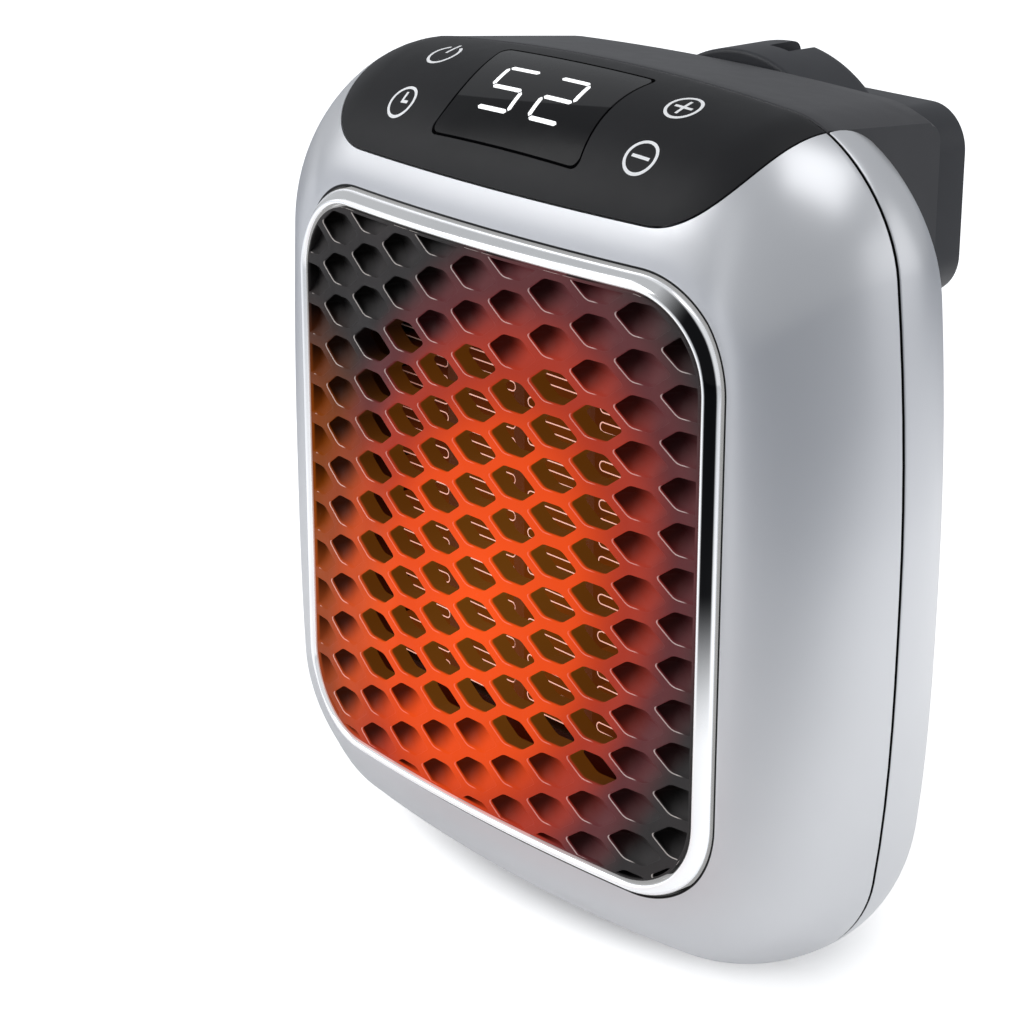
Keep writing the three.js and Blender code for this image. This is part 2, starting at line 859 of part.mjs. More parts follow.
// One strip of metal folded back and forth between two sides
function finBank(index) {
  const left = bankStart + index * bankPitch + finWall / 2
  const right = left + bankWidth - finWall
  const folds = Math.floor((heaterHeight - gap * 2 - finWall) / finPitch)
  const low = grilleCentre - folds * finPitch / 2
  const path = []
  for (let fold = 0; fold <= folds; fold++) {
    const z = low + fold * finPitch
    if (fold % 2) path.push([right, z], [left, z])
    else path.push([left, z], [right, z])
  }
  const back = heaterBack - heaterDepth / 2 + finDepth / 2
  return prism(stripShape(path, finWall), back - finDepth, back)
}

// A strip of one thickness along a path that only turns square corners
function stripShape(path, thick) {
  const direction = (from, to) => [Math.sign(to[0] - from[0]), Math.sign(to[1] - from[1])]
  const side = sign => path.map((point, at) => {
    const before = at > 0 ? direction(path[at - 1], point) : [0, 0]
    const after = at < path.length - 1 ? direction(point, path[at + 1]) : [0, 0]
    const turn = [before[0] + after[0], before[1] + after[1]]
    const shift = sign * thick / 2
    const onward = before[0] === after[0] && before[1] === after[1]
    const straight = onward || Math.abs(turn[0]) + Math.abs(turn[1]) === 1
    const along = straight ? direction([0, 0], turn) : turn
    return [point[0] - along[1] * shift, point[1] + along[0] * shift]
  })
  return polygon([...side(1), ...side(-1).reverse()])
}

// Flat tabs on the back of the frame, where the leads are pushed on
function heaterTerminal(side) {
  const x = side * (heaterWidth / 2 + heaterFrameWall / 2)
  const low = grilleCentre - heaterHeight / 2
  const half = terminalWidth / 2
  const back = heaterBack + gap
  return box(x - half, x + half, back, back + terminalThick, low, low + terminalLength)
}

// The cut-out is a small can with two ears that sits on top of the duct
function thermalCutout() {
  const low = grilleCentre + heaterHeight / 2 + ductOut + ductWall + gap
  const middle = (ductFront + ductBack) / 2
  const can = new THREE.CylinderGeometry(cutoutRadius, cutoutRadius, cutoutHeight, smallSteps * 2)
  can.rotateX(Math.PI / 2)
  can.translate(0, middle, low + cutoutHeight / 2)
  const earHalf = cutoutRadius / 2
  const ears = box(-cutoutRadius * 2, cutoutRadius * 2, middle - earHalf, middle + earHalf,
    low, low + terminalThick)
  return join(toSolid(can), ears)
}

// Duct: a mouth round the heater that leads into the round ring of the fan

const ductOut = heaterFrameWall + gap
const ductFront = -(frontDepth - wall) + gap * 2 + flangeThick
const ductBack = ductFront + ductLength
const ringBack = ductBack + fanRingLength
const bracketBack = ringBack
const bracketFront = bracketBack - bracketThick
const rotorFront = bracketFront - fanClear - fanHubLength

function mouthBlock(grow, front, back) {
  const side = heaterWidth / 2 + grow
  const rise = heaterHeight / 2 + grow
  return box(-side, side, front, back, grilleCentre - rise, grilleCentre + rise)
}

// A tube round the heater's place, with its inside a distance out from it
function mouth(out, thick, front, back) {
  return mouthBlock(out + thick, front, back).subtract(mouthBlock(out, front - overrun, back + overrun))
}

function fanDuct() {
  const walls = mouth(ductOut, ductWall, ductFront, ductBack)
  const flange = mouth(ductOut, ductWall + ductFlange, ductFront, ductFront + ductFlangeThick)
  const plate = mouthBlock(ductOut + ductWall, ductBack - ductWall, ductBack)
    .subtract(rod(fanRingRadius, ductBack - overrun, ductBack + overrun, 0, grilleCentre, roundSteps))
  const ringFront = ductBack - ductWall / 2
  const ring = tube(fanRingRadius + ductWall, fanRingRadius, ringFront, ringBack, 0, grilleCentre)
  let duct = join(walls, flange, plate, ring)
  const reach = fanRingRadius + ductWall / 2
  for (let arm = 0; arm < bracketArms; arm++) {
    const bar = new THREE.BoxGeometry(reach, bracketThick, bracketArm)
    bar.translate(reach / 2, (bracketFront + bracketBack) / 2, 0)
    bar.rotateY((arm + 1 / 2) / bracketArms * Math.PI * 2)
    bar.translate(0, 0, grilleCentre)
    duct = join(duct, toSolid(bar))
  }
  duct = join(duct, rod(bracketHub, bracketFront, bracketBack, 0, grilleCentre, roundSteps))
  const bossHole = rod(motorBossRadius + gap, bracketFront - overrun, bracketBack + overrun,
    0, grilleCentre, roundSteps)
  return cut(duct, bossHole)
}

const motorFront = bracketBack + gap
const motorLength = rearDepth - wall - motorClear - motorFront
const ductPostReach = (fanRingRadius + ductWall / 2) * Math.SQRT1_2

function motorBody() {
  const nose = motorFront - gap - motorBossLength
  return turned([
    [shaftRadius + shaftClear, nose],
    [motorBossRadius, nose],
    [motorBossRadius, motorFront],
    [motorRadius, motorFront],
    [motorRadius, motorFront + motorLength - ringShoulder],
    [motorRadius - ringShoulder, motorFront + motorLength],
    [0, motorFront + motorLength],
    [0, motorFront + motorLength - wall],
    [shaftRadius + shaftClear, motorFront + motorLength - wall],
    [shaftRadius + shaftClear, nose],
  ], 0, grilleCentre)
}

function motorShaft() {
  const front = rotorFront + fanHubWall + gap
  return rod(shaftRadius, front, motorFront + motorLength - wall - gap, 0, grilleCentre, roundSteps)
}

// A blade is a loft of thin slanted sections from the hub to the tip
function fanBlade(index) {
  const rings = []
  for (let station = 0; station <= bladeSteps; station++) {
    const share = station / bladeSteps
    const radius = fanHubRadius - fanHubWall / 2 + (fanRadius - fanHubRadius + fanHubWall / 2) * share
    const chord = bladeRootChord + (bladeTipChord - bladeRootChord) * share
    const pitch = THREE.MathUtils.degToRad(bladeRootDegrees + (bladeTipDegrees - bladeRootDegrees) * share)
    const middle = rotorFront + fanHubLength / 2
    const corner = (along, across) => [
      along * Math.cos(pitch) - across * Math.sin(pitch),
      middle + along * Math.sin(pitch) + across * Math.cos(pitch),
      radius,
    ]
    const half = Math.min(chord / 2, (fanHubLength / 2 - bladeThick / 2) / Math.sin(pitch))
    const thick = bladeThick / 2
    rings.push([corner(-half, 0), corner(0, thick), corner(half, 0), corner(0, -thick)])
  }
  const positions = rings.flat(2)
  const count = rings[0].length
  const indices = []
  for (let row = 0; row < bladeSteps; row++) {
    for (let column = 0; column < count; column++) {
      const a = row * count + column
      const b = row * count + (column + 1) % count
      indices.push(a, b, b + count, a, b + count, a + count)
    }
  }
  const last = bladeSteps * count
  indices.push(0, 2, 1, 0, 3, 2, last, last + 1, last + 2, last, last + 2, last + 3)
  const geometry = new THREE.BufferGeometry()
  geometry.setAttribute('position', new THREE.Float32BufferAttribute(positions, 3))
  geometry.setIndex(indices)
  geometry.rotateY(index / bladeCount * Math.PI * 2)
  geometry.translate(0, 0, grilleCentre)
  const solid = toSolid(geometry)
  return solid.volume() > 0 ? solid : toSolid(flipFaces(geometry))
}

function fanRotor() {
  const back = rotorFront + fanHubLength
  const hub = turned([
    [0, rotorFront],
    [fanHubRadius - ringShoulder, rotorFront],
    [fanHubRadius, rotorFront + ringShoulder],
    [fanHubRadius, back],
    [fanHubRadius - fanHubWall, back],
    [fanHubRadius - fanHubWall, rotorFront + fanHubWall],
    [bearingRadius, rotorFront + fanHubWall],
    [bearingRadius, back - fanHubWall],
    [shaftRadius + gap, back - fanHubWall],
    [shaftRadius + gap, rotorFront + fanHubWall / 2],
    [0, rotorFront + fanHubWall / 2],
    [0, rotorFront],
  ], 0, grilleCentre)
  let rotor = hub
  for (let index = 0; index < bladeCount; index++) rotor = join(rotor, fanBlade(index))
  return rotor
}

// Shell screws

function shellScrew([x, z]) {
  const head = rod(shellScrewHead, shellWellSeat + gap, shellWellSeat + gap + shellScrewCap, x, z)
  const shank = rod(shellScrewRadius, -shellScrewBite, shellWellSeat + gap * 2, x, z)
  return join(head, shank)
}

// Rear shell: dome with a foot, intake slots, screw wells and the rocker's place

function intakeSlots() {
  const shapes = []
  const circle = rearFaceWidth / 2 - slotCircleInset
  const rows = Math.floor((coverBottom - slotCoverClear - slotLow) / slotPitch) + 1
  for (let row = 0; row < rows; row++) {
    const rise = (row - (rows - 1) / 2) * slotPitch
    const z = slotLow + row * slotPitch
    const half = Math.sqrt(circle ** 2 - rise ** 2)
    const piece = (half * 2 - slotRibs * slotRib) / (slotRibs + 1)
    for (let part = 0; part <= slotRibs; part++) {
      const middle = -half + piece / 2 + part * (piece + slotRib)
      shapes.push(roundedShape(piece, slotHeight, slotHeight / 2 - tinyGap, middle, z))
    }
  }
  return shapes
}

function lipRing(front, back) {
  const outer = insetSpec(seamSpec, wall + gap)
  const inner = insetSpec(seamSpec, wall + gap + seamLip)
  return barrel(outer, front, back).subtract(barrel(inner, front - overrun, back + overrun))
}

function rearShell() {
  const outside = rearSkin(0)
  const inside = rearSkin(wall, overrun)
  let shell = outside.subtract(inside)
  const foot = prism(roundedShape(footWidth, footHeight, footRadius, 0, footHeight / 2), gap, footDepth)
    .subtract(inside)
  shell = join(shell, foot, lipRing(gap - seamLipReach, wall))
  for (const [x, z] of shellScrewPlaces) {
    const boss = rod(shellPostRadius + shellWellClear * 2, gap / 2, rearDepth, x, z)
    shell = join(shell, boss.intersect(outside))
  }
  for (const [x, z] of shellScrewPlaces) {
    shell = cut(
      shell,
      rod(shellScrewHead + shellWellClear, shellWellSeat, rearDepth + overrun, x, z),
      rod(shellScrewRadius + gap, -overrun, rearDepth, x, z),
    )
  }
  const cutFront = rearDepth - wall - overrun
  const cutBack = rearDepth + overrun
  for (const shape of intakeSlots()) shell = cut(shell, prism(shape, cutFront, cutBack, slotEndSteps))
  for (const side of bothSides) {
    const post = rod(ductPostRadius, ringBack + gap, rearDepth - wall / 2, side * ductPostReach,
      grilleCentre - ductPostReach)
    const hole = rod(coverScrewRadius + gap, cutFront, cutBack, side * coverTabSide,
      coverBottom - coverScrewDrop)
    shell = cut(join(shell, post), hole)
  }
  const half = rockerCutWidth / 2 + gap
  const high = rockerCutHeight / 2 + gap
  const switchHole = box(-half, half, cutFront, cutBack, rockerHeight - high, rockerHeight + high)
  const coverPlace = coverRegion(-gap, -overrun, coverDepth + overrun)
  return cut(shell, switchHole, coverPlace, belowStand())
}

// Power rocker in the rear shell

const rockerAxisY = rearDepth + rockerBezelThick - rockerSink / 2

function switchBody() {
  const width = rockerCutWidth
  const height = rockerCutHeight
  const back = rearDepth + gap
  const front = back - rockerBodyDepth
  const body = box(-width / 2, width / 2, front, back, rockerHeight - height / 2, rockerHeight + height / 2)
  const rim = roundedShape(width + rockerBezel * 2, height + rockerBezel * 2, rockerBezel, 0, rockerHeight)
  const bezel = prism(rim, back, back + rockerBezelThick)
  const half = rockerWidth / 2 + rockerSwing
  const high = rockerHigh / 2 + gap
  const floor = rockerAxisY - rockerSink - gap
  const well = box(-half, half, floor, back + overrun, rockerHeight - high, rockerHeight + high)
  const bore = new THREE.CylinderGeometry(rockerPinRadius + shaftClear, rockerPinRadius + shaftClear,
    rockerHigh + (rockerPinLength + gap) * 2, smallSteps * 2)
  bore.rotateX(Math.PI / 2)
  bore.translate(0, rockerAxisY, rockerHeight)
  return cut(join(body, bezel), well, toSolid(bore))
}

// The rocker's top is two flats that meet over its axle. It rests tilted, with its left end down
function powerRocker() {
  const half = rockerWidth / 2
  const top = rockerRise + rockerSink / 2
  const points = [
    [-half, 0], [-half + rockerSink / 2, -rockerSink / 2],
    [half - rockerSink / 2, -rockerSink / 2], [half, 0],
    [half, top], [0, top - rockerRise / 2], [-half, top],
  ]
  const high = rockerHigh
  const shape = new THREE.Shape(points.map(([x, y]) => new THREE.Vector2(x, y)))
  const body = new THREE.ExtrudeGeometry(shape, { depth: high, bevelEnabled: false })
  body.translate(0, 0, -high / 2)
  const pinLength = high + rockerPinLength * 2
  const pin = new THREE.CylinderGeometry(rockerPinRadius, rockerPinRadius, pinLength, smallSteps * 2)
  pin.rotateX(Math.PI / 2)
  const place = geometry => {
    geometry.rotateZ(THREE.MathUtils.degToRad(rockerDegrees))
    geometry.translate(0, rockerAxisY, rockerHeight)
    return toSolid(geometry)
  }
  return join(place(body), place(pin))
}

// Rear top cover

const coverInside = coverDepth - coverWall
const coverFloorFront = rearDepth - wall - coverTabThick - gap

// A block that points out from the swivel's axis, with 0 degrees to the right
const upright = -90

function radialBlock(inner, outer, width, front, back, degrees) {
  const geometry = new THREE.BoxGeometry(outer - inner, back - front, width)
  geometry.translate((outer + inner) / 2, (front + back) / 2, 0)
  geometry.rotateY(-THREE.MathUtils.degToRad(degrees))
  geometry.translate(0, 0, swivelHeight)
  return toSolid(geometry)
}

const washerFront = coverInside - gap - washerThick
const retainerBack = washerFront - gap
const retainerFront = retainerBack - retainerThick
const stopRadius = washerRadius + gap
const stopDegrees = swivelDegrees + stopSpareDegrees
  + THREE.MathUtils.radToDeg(Math.atan(stopWidth / 2 / stopRadius)) * 2

function rearTopCover() {
  const outside = coverBlock(0).intersect(coverRegion(0, 0, coverDepth + overrun))
  const inside = coverBlock(coverWall, overrun)
    .intersect(coverRegion(coverWall, -overrun, coverDepth + overrun))
  const lip = lipRing(gap - seamLipReach, coverWall).intersect(coverRegion(gap, -overrun, coverDepth))
  const underside = box(-bodyWidth, bodyWidth, -overrun, coverFloorFront, 0, coverBottom + coverRadius)
  let cover = join(outside.subtract(inside), lip).subtract(underside)
  for (const side of bothSides) {
    const x = side * coverTabSide
    const tabBack = rearDepth - wall - gap
    const low = coverBottom - coverTabHeight
    const tab = box(x - coverTabWidth / 2, x + coverTabWidth / 2, tabBack - coverTabThick, tabBack, low,
      coverBottom + coverWall)
    cover = join(cover, tab)
      .subtract(rod(coverScrewRadius + gap / 2, -overrun, coverDepth, x, coverBottom - coverScrewDrop))
    const root = coverInside + coverWall / 2
    for (const rise of bothSides) {
      const z = powerBoardCentre + rise * powerPostRise
      cover = join(cover, rod(powerPostRadius, powerBack + gap, root, side * powerPostSide, z))
    }
    const contactPost = rod(contactPostRadius, contactBack + gap, root, side * contactPostSide,
      swivelHeight)
    const ductPost = rod(ductPostRadius, ringBack + gap, root, side * ductPostReach,
      grilleCentre + ductPostReach)
    const stop = radialBlock(stopRadius, stopRadius + stopReach, stopWidth, retainerFront, root,
      upright + side * stopDegrees)
    cover = join(cover, contactPost, ductPost, stop)
  }
  return cut(cover, rod(neckRadius + gap, 0, coverDepth + overrun, 0, swivelHeight, roundSteps))
}

function coverScrew(side) {
  const x = side * coverTabSide
  const z = coverBottom - coverScrewDrop
  const head = rod(coverScrewHead, rearDepth + gap, rearDepth + gap + coverScrewCap, x, z)
  const tip = rearDepth - wall - gap - coverTabThick
  return join(head, rod(coverScrewRadius, tip, rearDepth + gap * 2, x, z))
}

// Swivelling plug: turret and neck, retainer and washer inside, plug head with two blades

const turretFront = coverDepth + gap
const turretBack = turretFront + turretLength
const neckFront = coverInside - neckReach

function swivelTurret() {
  const body = turned([
    [neckBore, neckFront],
    [neckRadius, neckFront],
    [neckRadius, turretBack - wall],
    [turretRadius - turretRim, turretBack - wall],
    [turretRadius - turretRim, turretFront],
    [turretRadius, turretFront],
    [turretRadius, turretBack - turretEdge],
    [turretRadius - turretEdge, turretBack],
    [0, turretBack],
    [0, turretBack - wall],
    [neckBore, turretBack - wall],
    [neckBore, neckFront],
  ], 0, swivelHeight)
  const rim = swivelHeight + turretRadius
  const notch = polygon([
    [0, rim + overrun], [0, rim - turretNotchDeep],
    [turretNotchWide, rim], [turretNotchWide, rim + overrun],
  ])
  const middle = (turretFront + turretBack) / 2
  return body.subtract(prism(notch, middle - turretNotchLong / 2, middle + turretNotchLong / 2))
}

function swivelRetainer() {
  const ring = tube(retainerRadius, neckRadius + gap, retainerFront, retainerBack, 0, swivelHeight)
  const lug = radialBlock(retainerRadius - retainerThick, stopRadius + stopReach, stopWidth, retainerFront,
    retainerBack, upright)
  return join(ring, lug)
}

const frictionWasher = () =>
  tube(washerRadius, neckRadius + gap, washerFront, washerFront + washerThick, 0, swivelHeight)

const plugFront = turretBack + gap
const plugBack = plugFront + plugLength
const faceFront = plugBack - plugFaceThick
const plugFloor = plugFront + plugWall

function plugHead() {
  const spec = inset => ({
    halfWidth: plugWidth / 2 - inset,
    top: swivelHeight + plugHeight / 2 - inset,
    bottom: swivelHeight - plugHeight / 2 + inset,
    topRadius: plugRadius - inset,
    bottomRadius: plugRadius - inset,
    steps: straightSteps,
  })
  const edge = plugDraft * 2
  const shell = loft([
    ringAt(spec(edge), plugFront),
    ringAt(spec(0), plugFront + edge),
    ringAt(spec(plugDraft), plugBack),
  ])
  const hollow = barrel(spec(plugWall), plugFloor, plugBack + overrun)
  const rebate = barrel(spec(plugFaceLip), faceFront - gap, plugBack + overrun)
  let head = cut(shell, hollow, rebate)
  for (const side of bothSides) {
    const x = side * plugScrewSpacing / 2
    head = join(head, rod(plugPostRadius, plugFloor - plugWall / 2, faceFront - gap, x, swivelHeight))
      .subtract(rod(plugScrewRadius + gap / 2, plugFloor, plugBack, x, swivelHeight))
  }
  return head
}

function plugFace() {
  const spec = {
    halfWidth: plugWidth / 2 - plugFaceLip - gap,
    top: swivelHeight + plugHeight / 2 - plugFaceLip - gap,
    bottom: swivelHeight - plugHeight / 2 + plugFaceLip + gap,
    topRadius: plugRadius - plugFaceLip - gap,
    bottomRadius: plugRadius - plugFaceLip - gap,
    steps: straightSteps,
  }
  let face = barrel(spec, faceFront, plugBack)
  for (const side of bothSides) {
    const x = side * bladeSpacing / 2
    const half = pinThick / 2 + gap
    const high = pinWide / 2 + gap
    const screwX = side * plugScrewSpacing / 2
    const front = faceFront - overrun
    const back = plugBack + overrun
    face = cut(
      face,
      box(x - half, x + half, front, back, swivelHeight - high, swivelHeight + high),
      rod(plugScrewRadius + gap, front, back, screwX, swivelHeight),
      rod(plugScrewHead + gap, plugBack - plugScrewCap - gap, back, screwX, swivelHeight),
    )
  }
  return face
}

function plugBlade(side) {
  const x = side * bladeSpacing / 2
  const half = pinWide / 2
  const tip = half - pinTip
  const tail = Math.min(pinTail, faceFront - plugFloor - gap)
  const start = faceFront - tail
  const end = plugBack + pinReach
  const shape = new THREE.Shape([
    new THREE.Vector2(start, -half), new THREE.Vector2(end - pinTip, -half), new THREE.Vector2(end, -tip),
    new THREE.Vector2(end, tip), new THREE.Vector2(end - pinTip, half), new THREE.Vector2(start, half),
  ])
  const geometry = new THREE.ExtrudeGeometry(shape, { depth: pinThick, bevelEnabled: false })
  geometry.translate(0, 0, -pinThick / 2)
  geometry.rotateY(Math.PI / 2)
  geometry.rotateX(Math.PI / 2)
  const blade = toSolid(geometry)
  const bounds = blade.boundingBox()
  return blade.translate([x, start - bounds.min[1], swivelHeight])
}

function plugScrew(side) {
  const x = side * plugScrewSpacing / 2
  const head = rod(plugScrewHead, plugBack - plugScrewCap, plugBack, x, swivelHeight)
  return join(head, rod(plugScrewRadius, plugFloor + gap, plugBack - plugScrewCap / 2, x, swivelHeight))
}

// Swivel contacts: two rings on a fixed board, two brushes in the turret's neck

const contactBack = neckFront - contactSetback

function contactBoard() {
  const half = contactBoardWidth / 2
  const high = contactBoardHeight / 2
  const back = contactBack - contactThick - gap
  return box(-half, half, back - contactBoardThick, back, swivelHeight - high, swivelHeight + high)
}

const contactRing = radius =>
  tube(radius + contactWidth, radius, contactBack - contactThick, contactBack, 0, swivelHeight, roundSteps)

// A brush is a post in the turret with a foot that presses on its ring
function contactBrush(radius, side) {
  const x = side * (radius + contactWidth / 2)
  return rod(brushWidth / 2, contactBack + gap, turretBack - wall - gap, x, swivelHeight)
}

// Boards and what is on them

function controlBoard() {
  const board = slopedBox(boardWidth, boardLength, boardTop - boardThick, boardTop, 0, boardMid)
  const low = boardTop - boardThick - gap
  const holes = boardScrewPlaces.map(x =>
    slopedRod(boardScrewRadius + gap / 2, low, boardTop + gap, x, boardMid))
  return cut(board, ...holes)
}

function boardScrew(x) {
  const low = boardTop - boardThick - gap
  const head = slopedRod(boardScrewHead, low - boardScrewCap, low, x, boardMid)
  return join(head, slopedRod(boardScrewRadius, low - boardScrewCap / 2, boardTop + wall, x, boardMid))
}

const displayModule = () =>
  slopedBox(displayWidth - gap, displayLength - gap, boardTop + gap, -displaySink, windowShift, 0)

// A conical touch spring, drawn as its thin wall
function touchSpring(x, along) {
  const low = boardTop + gap
  const high = seatBottom - gap
  const middle = (low + high) / 2
  const points = [
    [springRadius - springWire, low], [springRadius, low], [springWaist, middle], [springRadius, high],
    [springRadius - springWire, high], [springWaist - springWire, middle], [springRadius - springWire, low],
  ].map(([radius, out]) => new THREE.Vector2(radius, out))
  const geometry = new THREE.LatheGeometry(points, smallSteps)
  geometry.rotateX(Math.PI / 2)
  const first = onPanel(geometry, x, along, 0)
  return first.volume() > 0 ? first : toSolid(flipFaces(geometry))
}

const powerBack = powerBoardFront + powerBoardThick

function powerBoard() {
  return box(-powerBoardWidth / 2, powerBoardWidth / 2, powerBoardFront, powerBack,
    powerBoardCentre - powerBoardHeight / 2, powerBoardCentre + powerBoardHeight / 2)
}

function boardPart(width, height, depth, side, rise, front) {
  const back = front ? powerBoardFront - gap : powerBack + gap + depth
  const z = powerBoardCentre + rise
  return box(side - width / 2, side + width / 2, back - depth, back, z - height / 2, z + height / 2)
}

function smoothingCapacitor() {
  const back = powerBoardFront - gap
  const z = powerBoardCentre + smoothCapRise
  return rod(smoothCapRadius, back - smoothCapLength, back, smoothCapSide, z, roundSteps)
}

// The assembly

const object = new THREE.Group()

function add(parent, name, solid, material) {
  const mesh = new THREE.Mesh(toGeometry(solid), material)
  mesh.name = name
  parent.add(mesh)
}

const housing = new THREE.Group()
add(housing, 'front_shell', frontShell(), silver)
add(housing, 'rear_shell', rearShell(), silver)
add(housing, 'rear_top_cover', rearTopCover(), charcoal)
add(housing, 'control_panel', controlPanel(), charcoal)
add(housing, 'display_window', displayWindow(), blackGloss)
add(housing, 'grille_ring', grilleRing(), chrome)
add(housing, 'front_grille', frontGrille(), grilleBlack)
shellScrewPlaces.forEach((place, at) => add(housing, `shell_screw_${at + 1}`, shellScrew(place), steel))
bothSides.forEach((side, at) => add(housing, `cover_screw_${at + 1}`, coverScrew(side), steel))
add(housing, 'switch_body', switchBody(), partBlack)
object.add(housing)

const heater = new THREE.Group()
add(heater, 'heater_frame', heaterFrame(), heatPlastic)
for (let at = 0; at < barCount; at++) add(heater, `heating_bar_${at + 1}`, heatingBar(at), ceramic)
for (let at = 0; at <= barCount; at++) add(heater, `fin_bank_${at + 1}`, finBank(at), aluminium)
bothSides.forEach((side, at) => add(heater, `heater_terminal_${at + 1}`, heaterTerminal(side), brass))
add(heater, 'thermal_cutout', thermalCutout(), steel)
add(heater, 'fan_duct', fanDuct(), ductGrey)
add(heater, 'motor_body', motorBody(), steel)
object.add(heater)

const electronics = new THREE.Group()
add(electronics, 'control_board', controlBoard(), boardGreen)
add(electronics, 'display_module', displayModule(), partBlack)
for (const [name, x, along] of touchPlaces) {
  add(electronics, `touch_spring_${name}`, touchSpring(x, along), steel)
}
boardScrewPlaces.forEach((x, at) => add(electronics, `board_screw_${at + 1}`, boardScrew(x), steel))
add(electronics, 'power_board', powerBoard(), boardGreen)
add(electronics, 'power_relay',
  boardPart(relayWidth, relayHeight, relayDepth, relaySide, relayRise, true), relayBlue)
add(electronics, 'film_capacitor',
  boardPart(filmCapWidth, filmCapHeight, filmCapDepth, filmCapSide, filmCapRise, true), capYellow)
add(electronics, 'control_chip',
  boardPart(chipWidth, chipHeight, chipDepth, chipSide, chipRise, false), partBlack)
add(electronics, 'smoothing_capacitor', smoothingCapacitor(), partBlack)
add(electronics, 'contact_board', contactBoard(), boardGreen)
add(electronics, 'contact_ring_inner', contactRing(contactInner), brass)
add(electronics, 'contact_ring_outer', contactRing(contactOuter), brass)
object.add(electronics)

const fan = new THREE.Group()
add(fan, 'fan_rotor', fanRotor(), fanPlastic)
add(fan, 'motor_shaft', motorShaft(), steel)
object.add(fan)

const rocker = new THREE.Group()
add(rocker, 'power_rocker', powerRocker(), partBlack)
object.add(rocker)

const plug = new THREE.Group()
add(plug, 'swivel_turret', swivelTurret(), charcoal)
add(plug, 'swivel_retainer', swivelRetainer(), steel)
add(plug, 'friction_washer', frictionWasher(), steel)
add(plug, 'contact_brush_inner', contactBrush(contactInner, 1), brass)
add(plug, 'contact_brush_outer', contactBrush(contactOuter, -1), brass)
add(plug, 'plug_head', plugHead(), charcoal)
add(plug, 'plug_face', plugFace(), charcoal)
bothSides.forEach((side, at) => {
  add(plug, `plug_blade_${at + 1}`, plugBlade(side), brass)
  add(plug, `plug_screw_${at + 1}`, plugScrew(side), steel)
})
object.add(plug)

object.position.y = -footDepth / 2

export default object
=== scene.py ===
# Looks of the plug-in fan heater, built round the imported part. Sizes are millimetres with the parting
# line of the two shells at y 0, as in the part's own drawing, and put() turns them into frame metres.
import bpy
import math
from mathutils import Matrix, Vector


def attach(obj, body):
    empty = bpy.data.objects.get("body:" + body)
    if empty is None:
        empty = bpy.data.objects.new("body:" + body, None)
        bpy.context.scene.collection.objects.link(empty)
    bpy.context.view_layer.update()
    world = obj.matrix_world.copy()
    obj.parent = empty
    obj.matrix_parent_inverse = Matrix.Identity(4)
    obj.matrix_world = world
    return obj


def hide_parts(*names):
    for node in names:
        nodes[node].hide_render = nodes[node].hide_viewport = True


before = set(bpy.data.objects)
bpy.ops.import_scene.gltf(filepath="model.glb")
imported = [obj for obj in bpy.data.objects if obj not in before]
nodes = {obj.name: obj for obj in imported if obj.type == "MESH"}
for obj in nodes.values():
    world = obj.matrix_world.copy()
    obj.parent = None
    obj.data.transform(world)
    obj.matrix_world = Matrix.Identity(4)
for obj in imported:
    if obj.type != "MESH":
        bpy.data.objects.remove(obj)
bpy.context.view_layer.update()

mm = 0.001
seamPlace = -9.5
scene = bpy.context.scene


def put(point):
    return (point[0] * mm, (point[1] + seamPlace) * mm, point[2] * mm)


# Sizes that several pieces share

body = {"height": 145.75, "frontDepth": 23, "rearDepth": 24, "wall": 2.8, "gap": 0.3, "over": 6, "edge": 0.4,
        "lowerFade": 3, "upperFade": 2}
grille = {"width": 97.3, "height": 97.1, "centre": 69.15, "radius": 14, "bulge": 3.2, "reach": 25}
opening = {"halfWidth": 51.85, "halfHeight": 51.75, "radius": 16.9}
panel = {"width": 97.2, "front": 127.55, "radius": 14, "thick": 1.6, "slope": math.radians(32.5),
         "midY": -13.2, "midZ": 138.55}
cover = {"depth": 30, "taper": 3.6, "bottom": 83.15, "rise": 3, "radius": 14, "drop": 3.9, "narrow": 5.2,
         "rearRadius": 20, "crown": 1.8, "edge": 3, "wall": 2.5}
swivel = {"height": 115.95, "radius": 26.5, "length": 14.7, "collar": 14.3}
heaterHalf = 33
cell = {"length": 12.2, "flat": 4.4, "height": 5.6, "pitchX": 9.35, "pitchZ": 7.27, "row": 70.25, "deep": 3.6,
        "floor": 1.0, "border": 0.3, "lip": 0.2, "corner": 0.85, "lean": 3.0, "climb": 0.6}
seamSpec = {"halfWidth": 60.9, "top": 140.3, "bottom": 3.15, "topRadius": 19.4, "bottomRadius": 19,
            "side": 6.7, "end": 4.3}
frontSpec = {"halfWidth": 52.55, "top": 121.6, "bottom": 16.7, "topRadius": 16.9, "bottomRadius": 16.9,
             "side": 0, "end": 0}
rearSpec = {"halfWidth": 42, "top": 119.15, "bottom": 19, "topRadius": 24, "bottomRadius": 24,
            "side": 1.2, "end": 1.2}


def quarterArc(x, z, radius, quarter, steps):
    angles = [(quarter + step / steps) * math.pi / 2 for step in range(steps + 1)]
    return [(x + radius * math.cos(angle), z + radius * math.sin(angle)) for angle in angles]


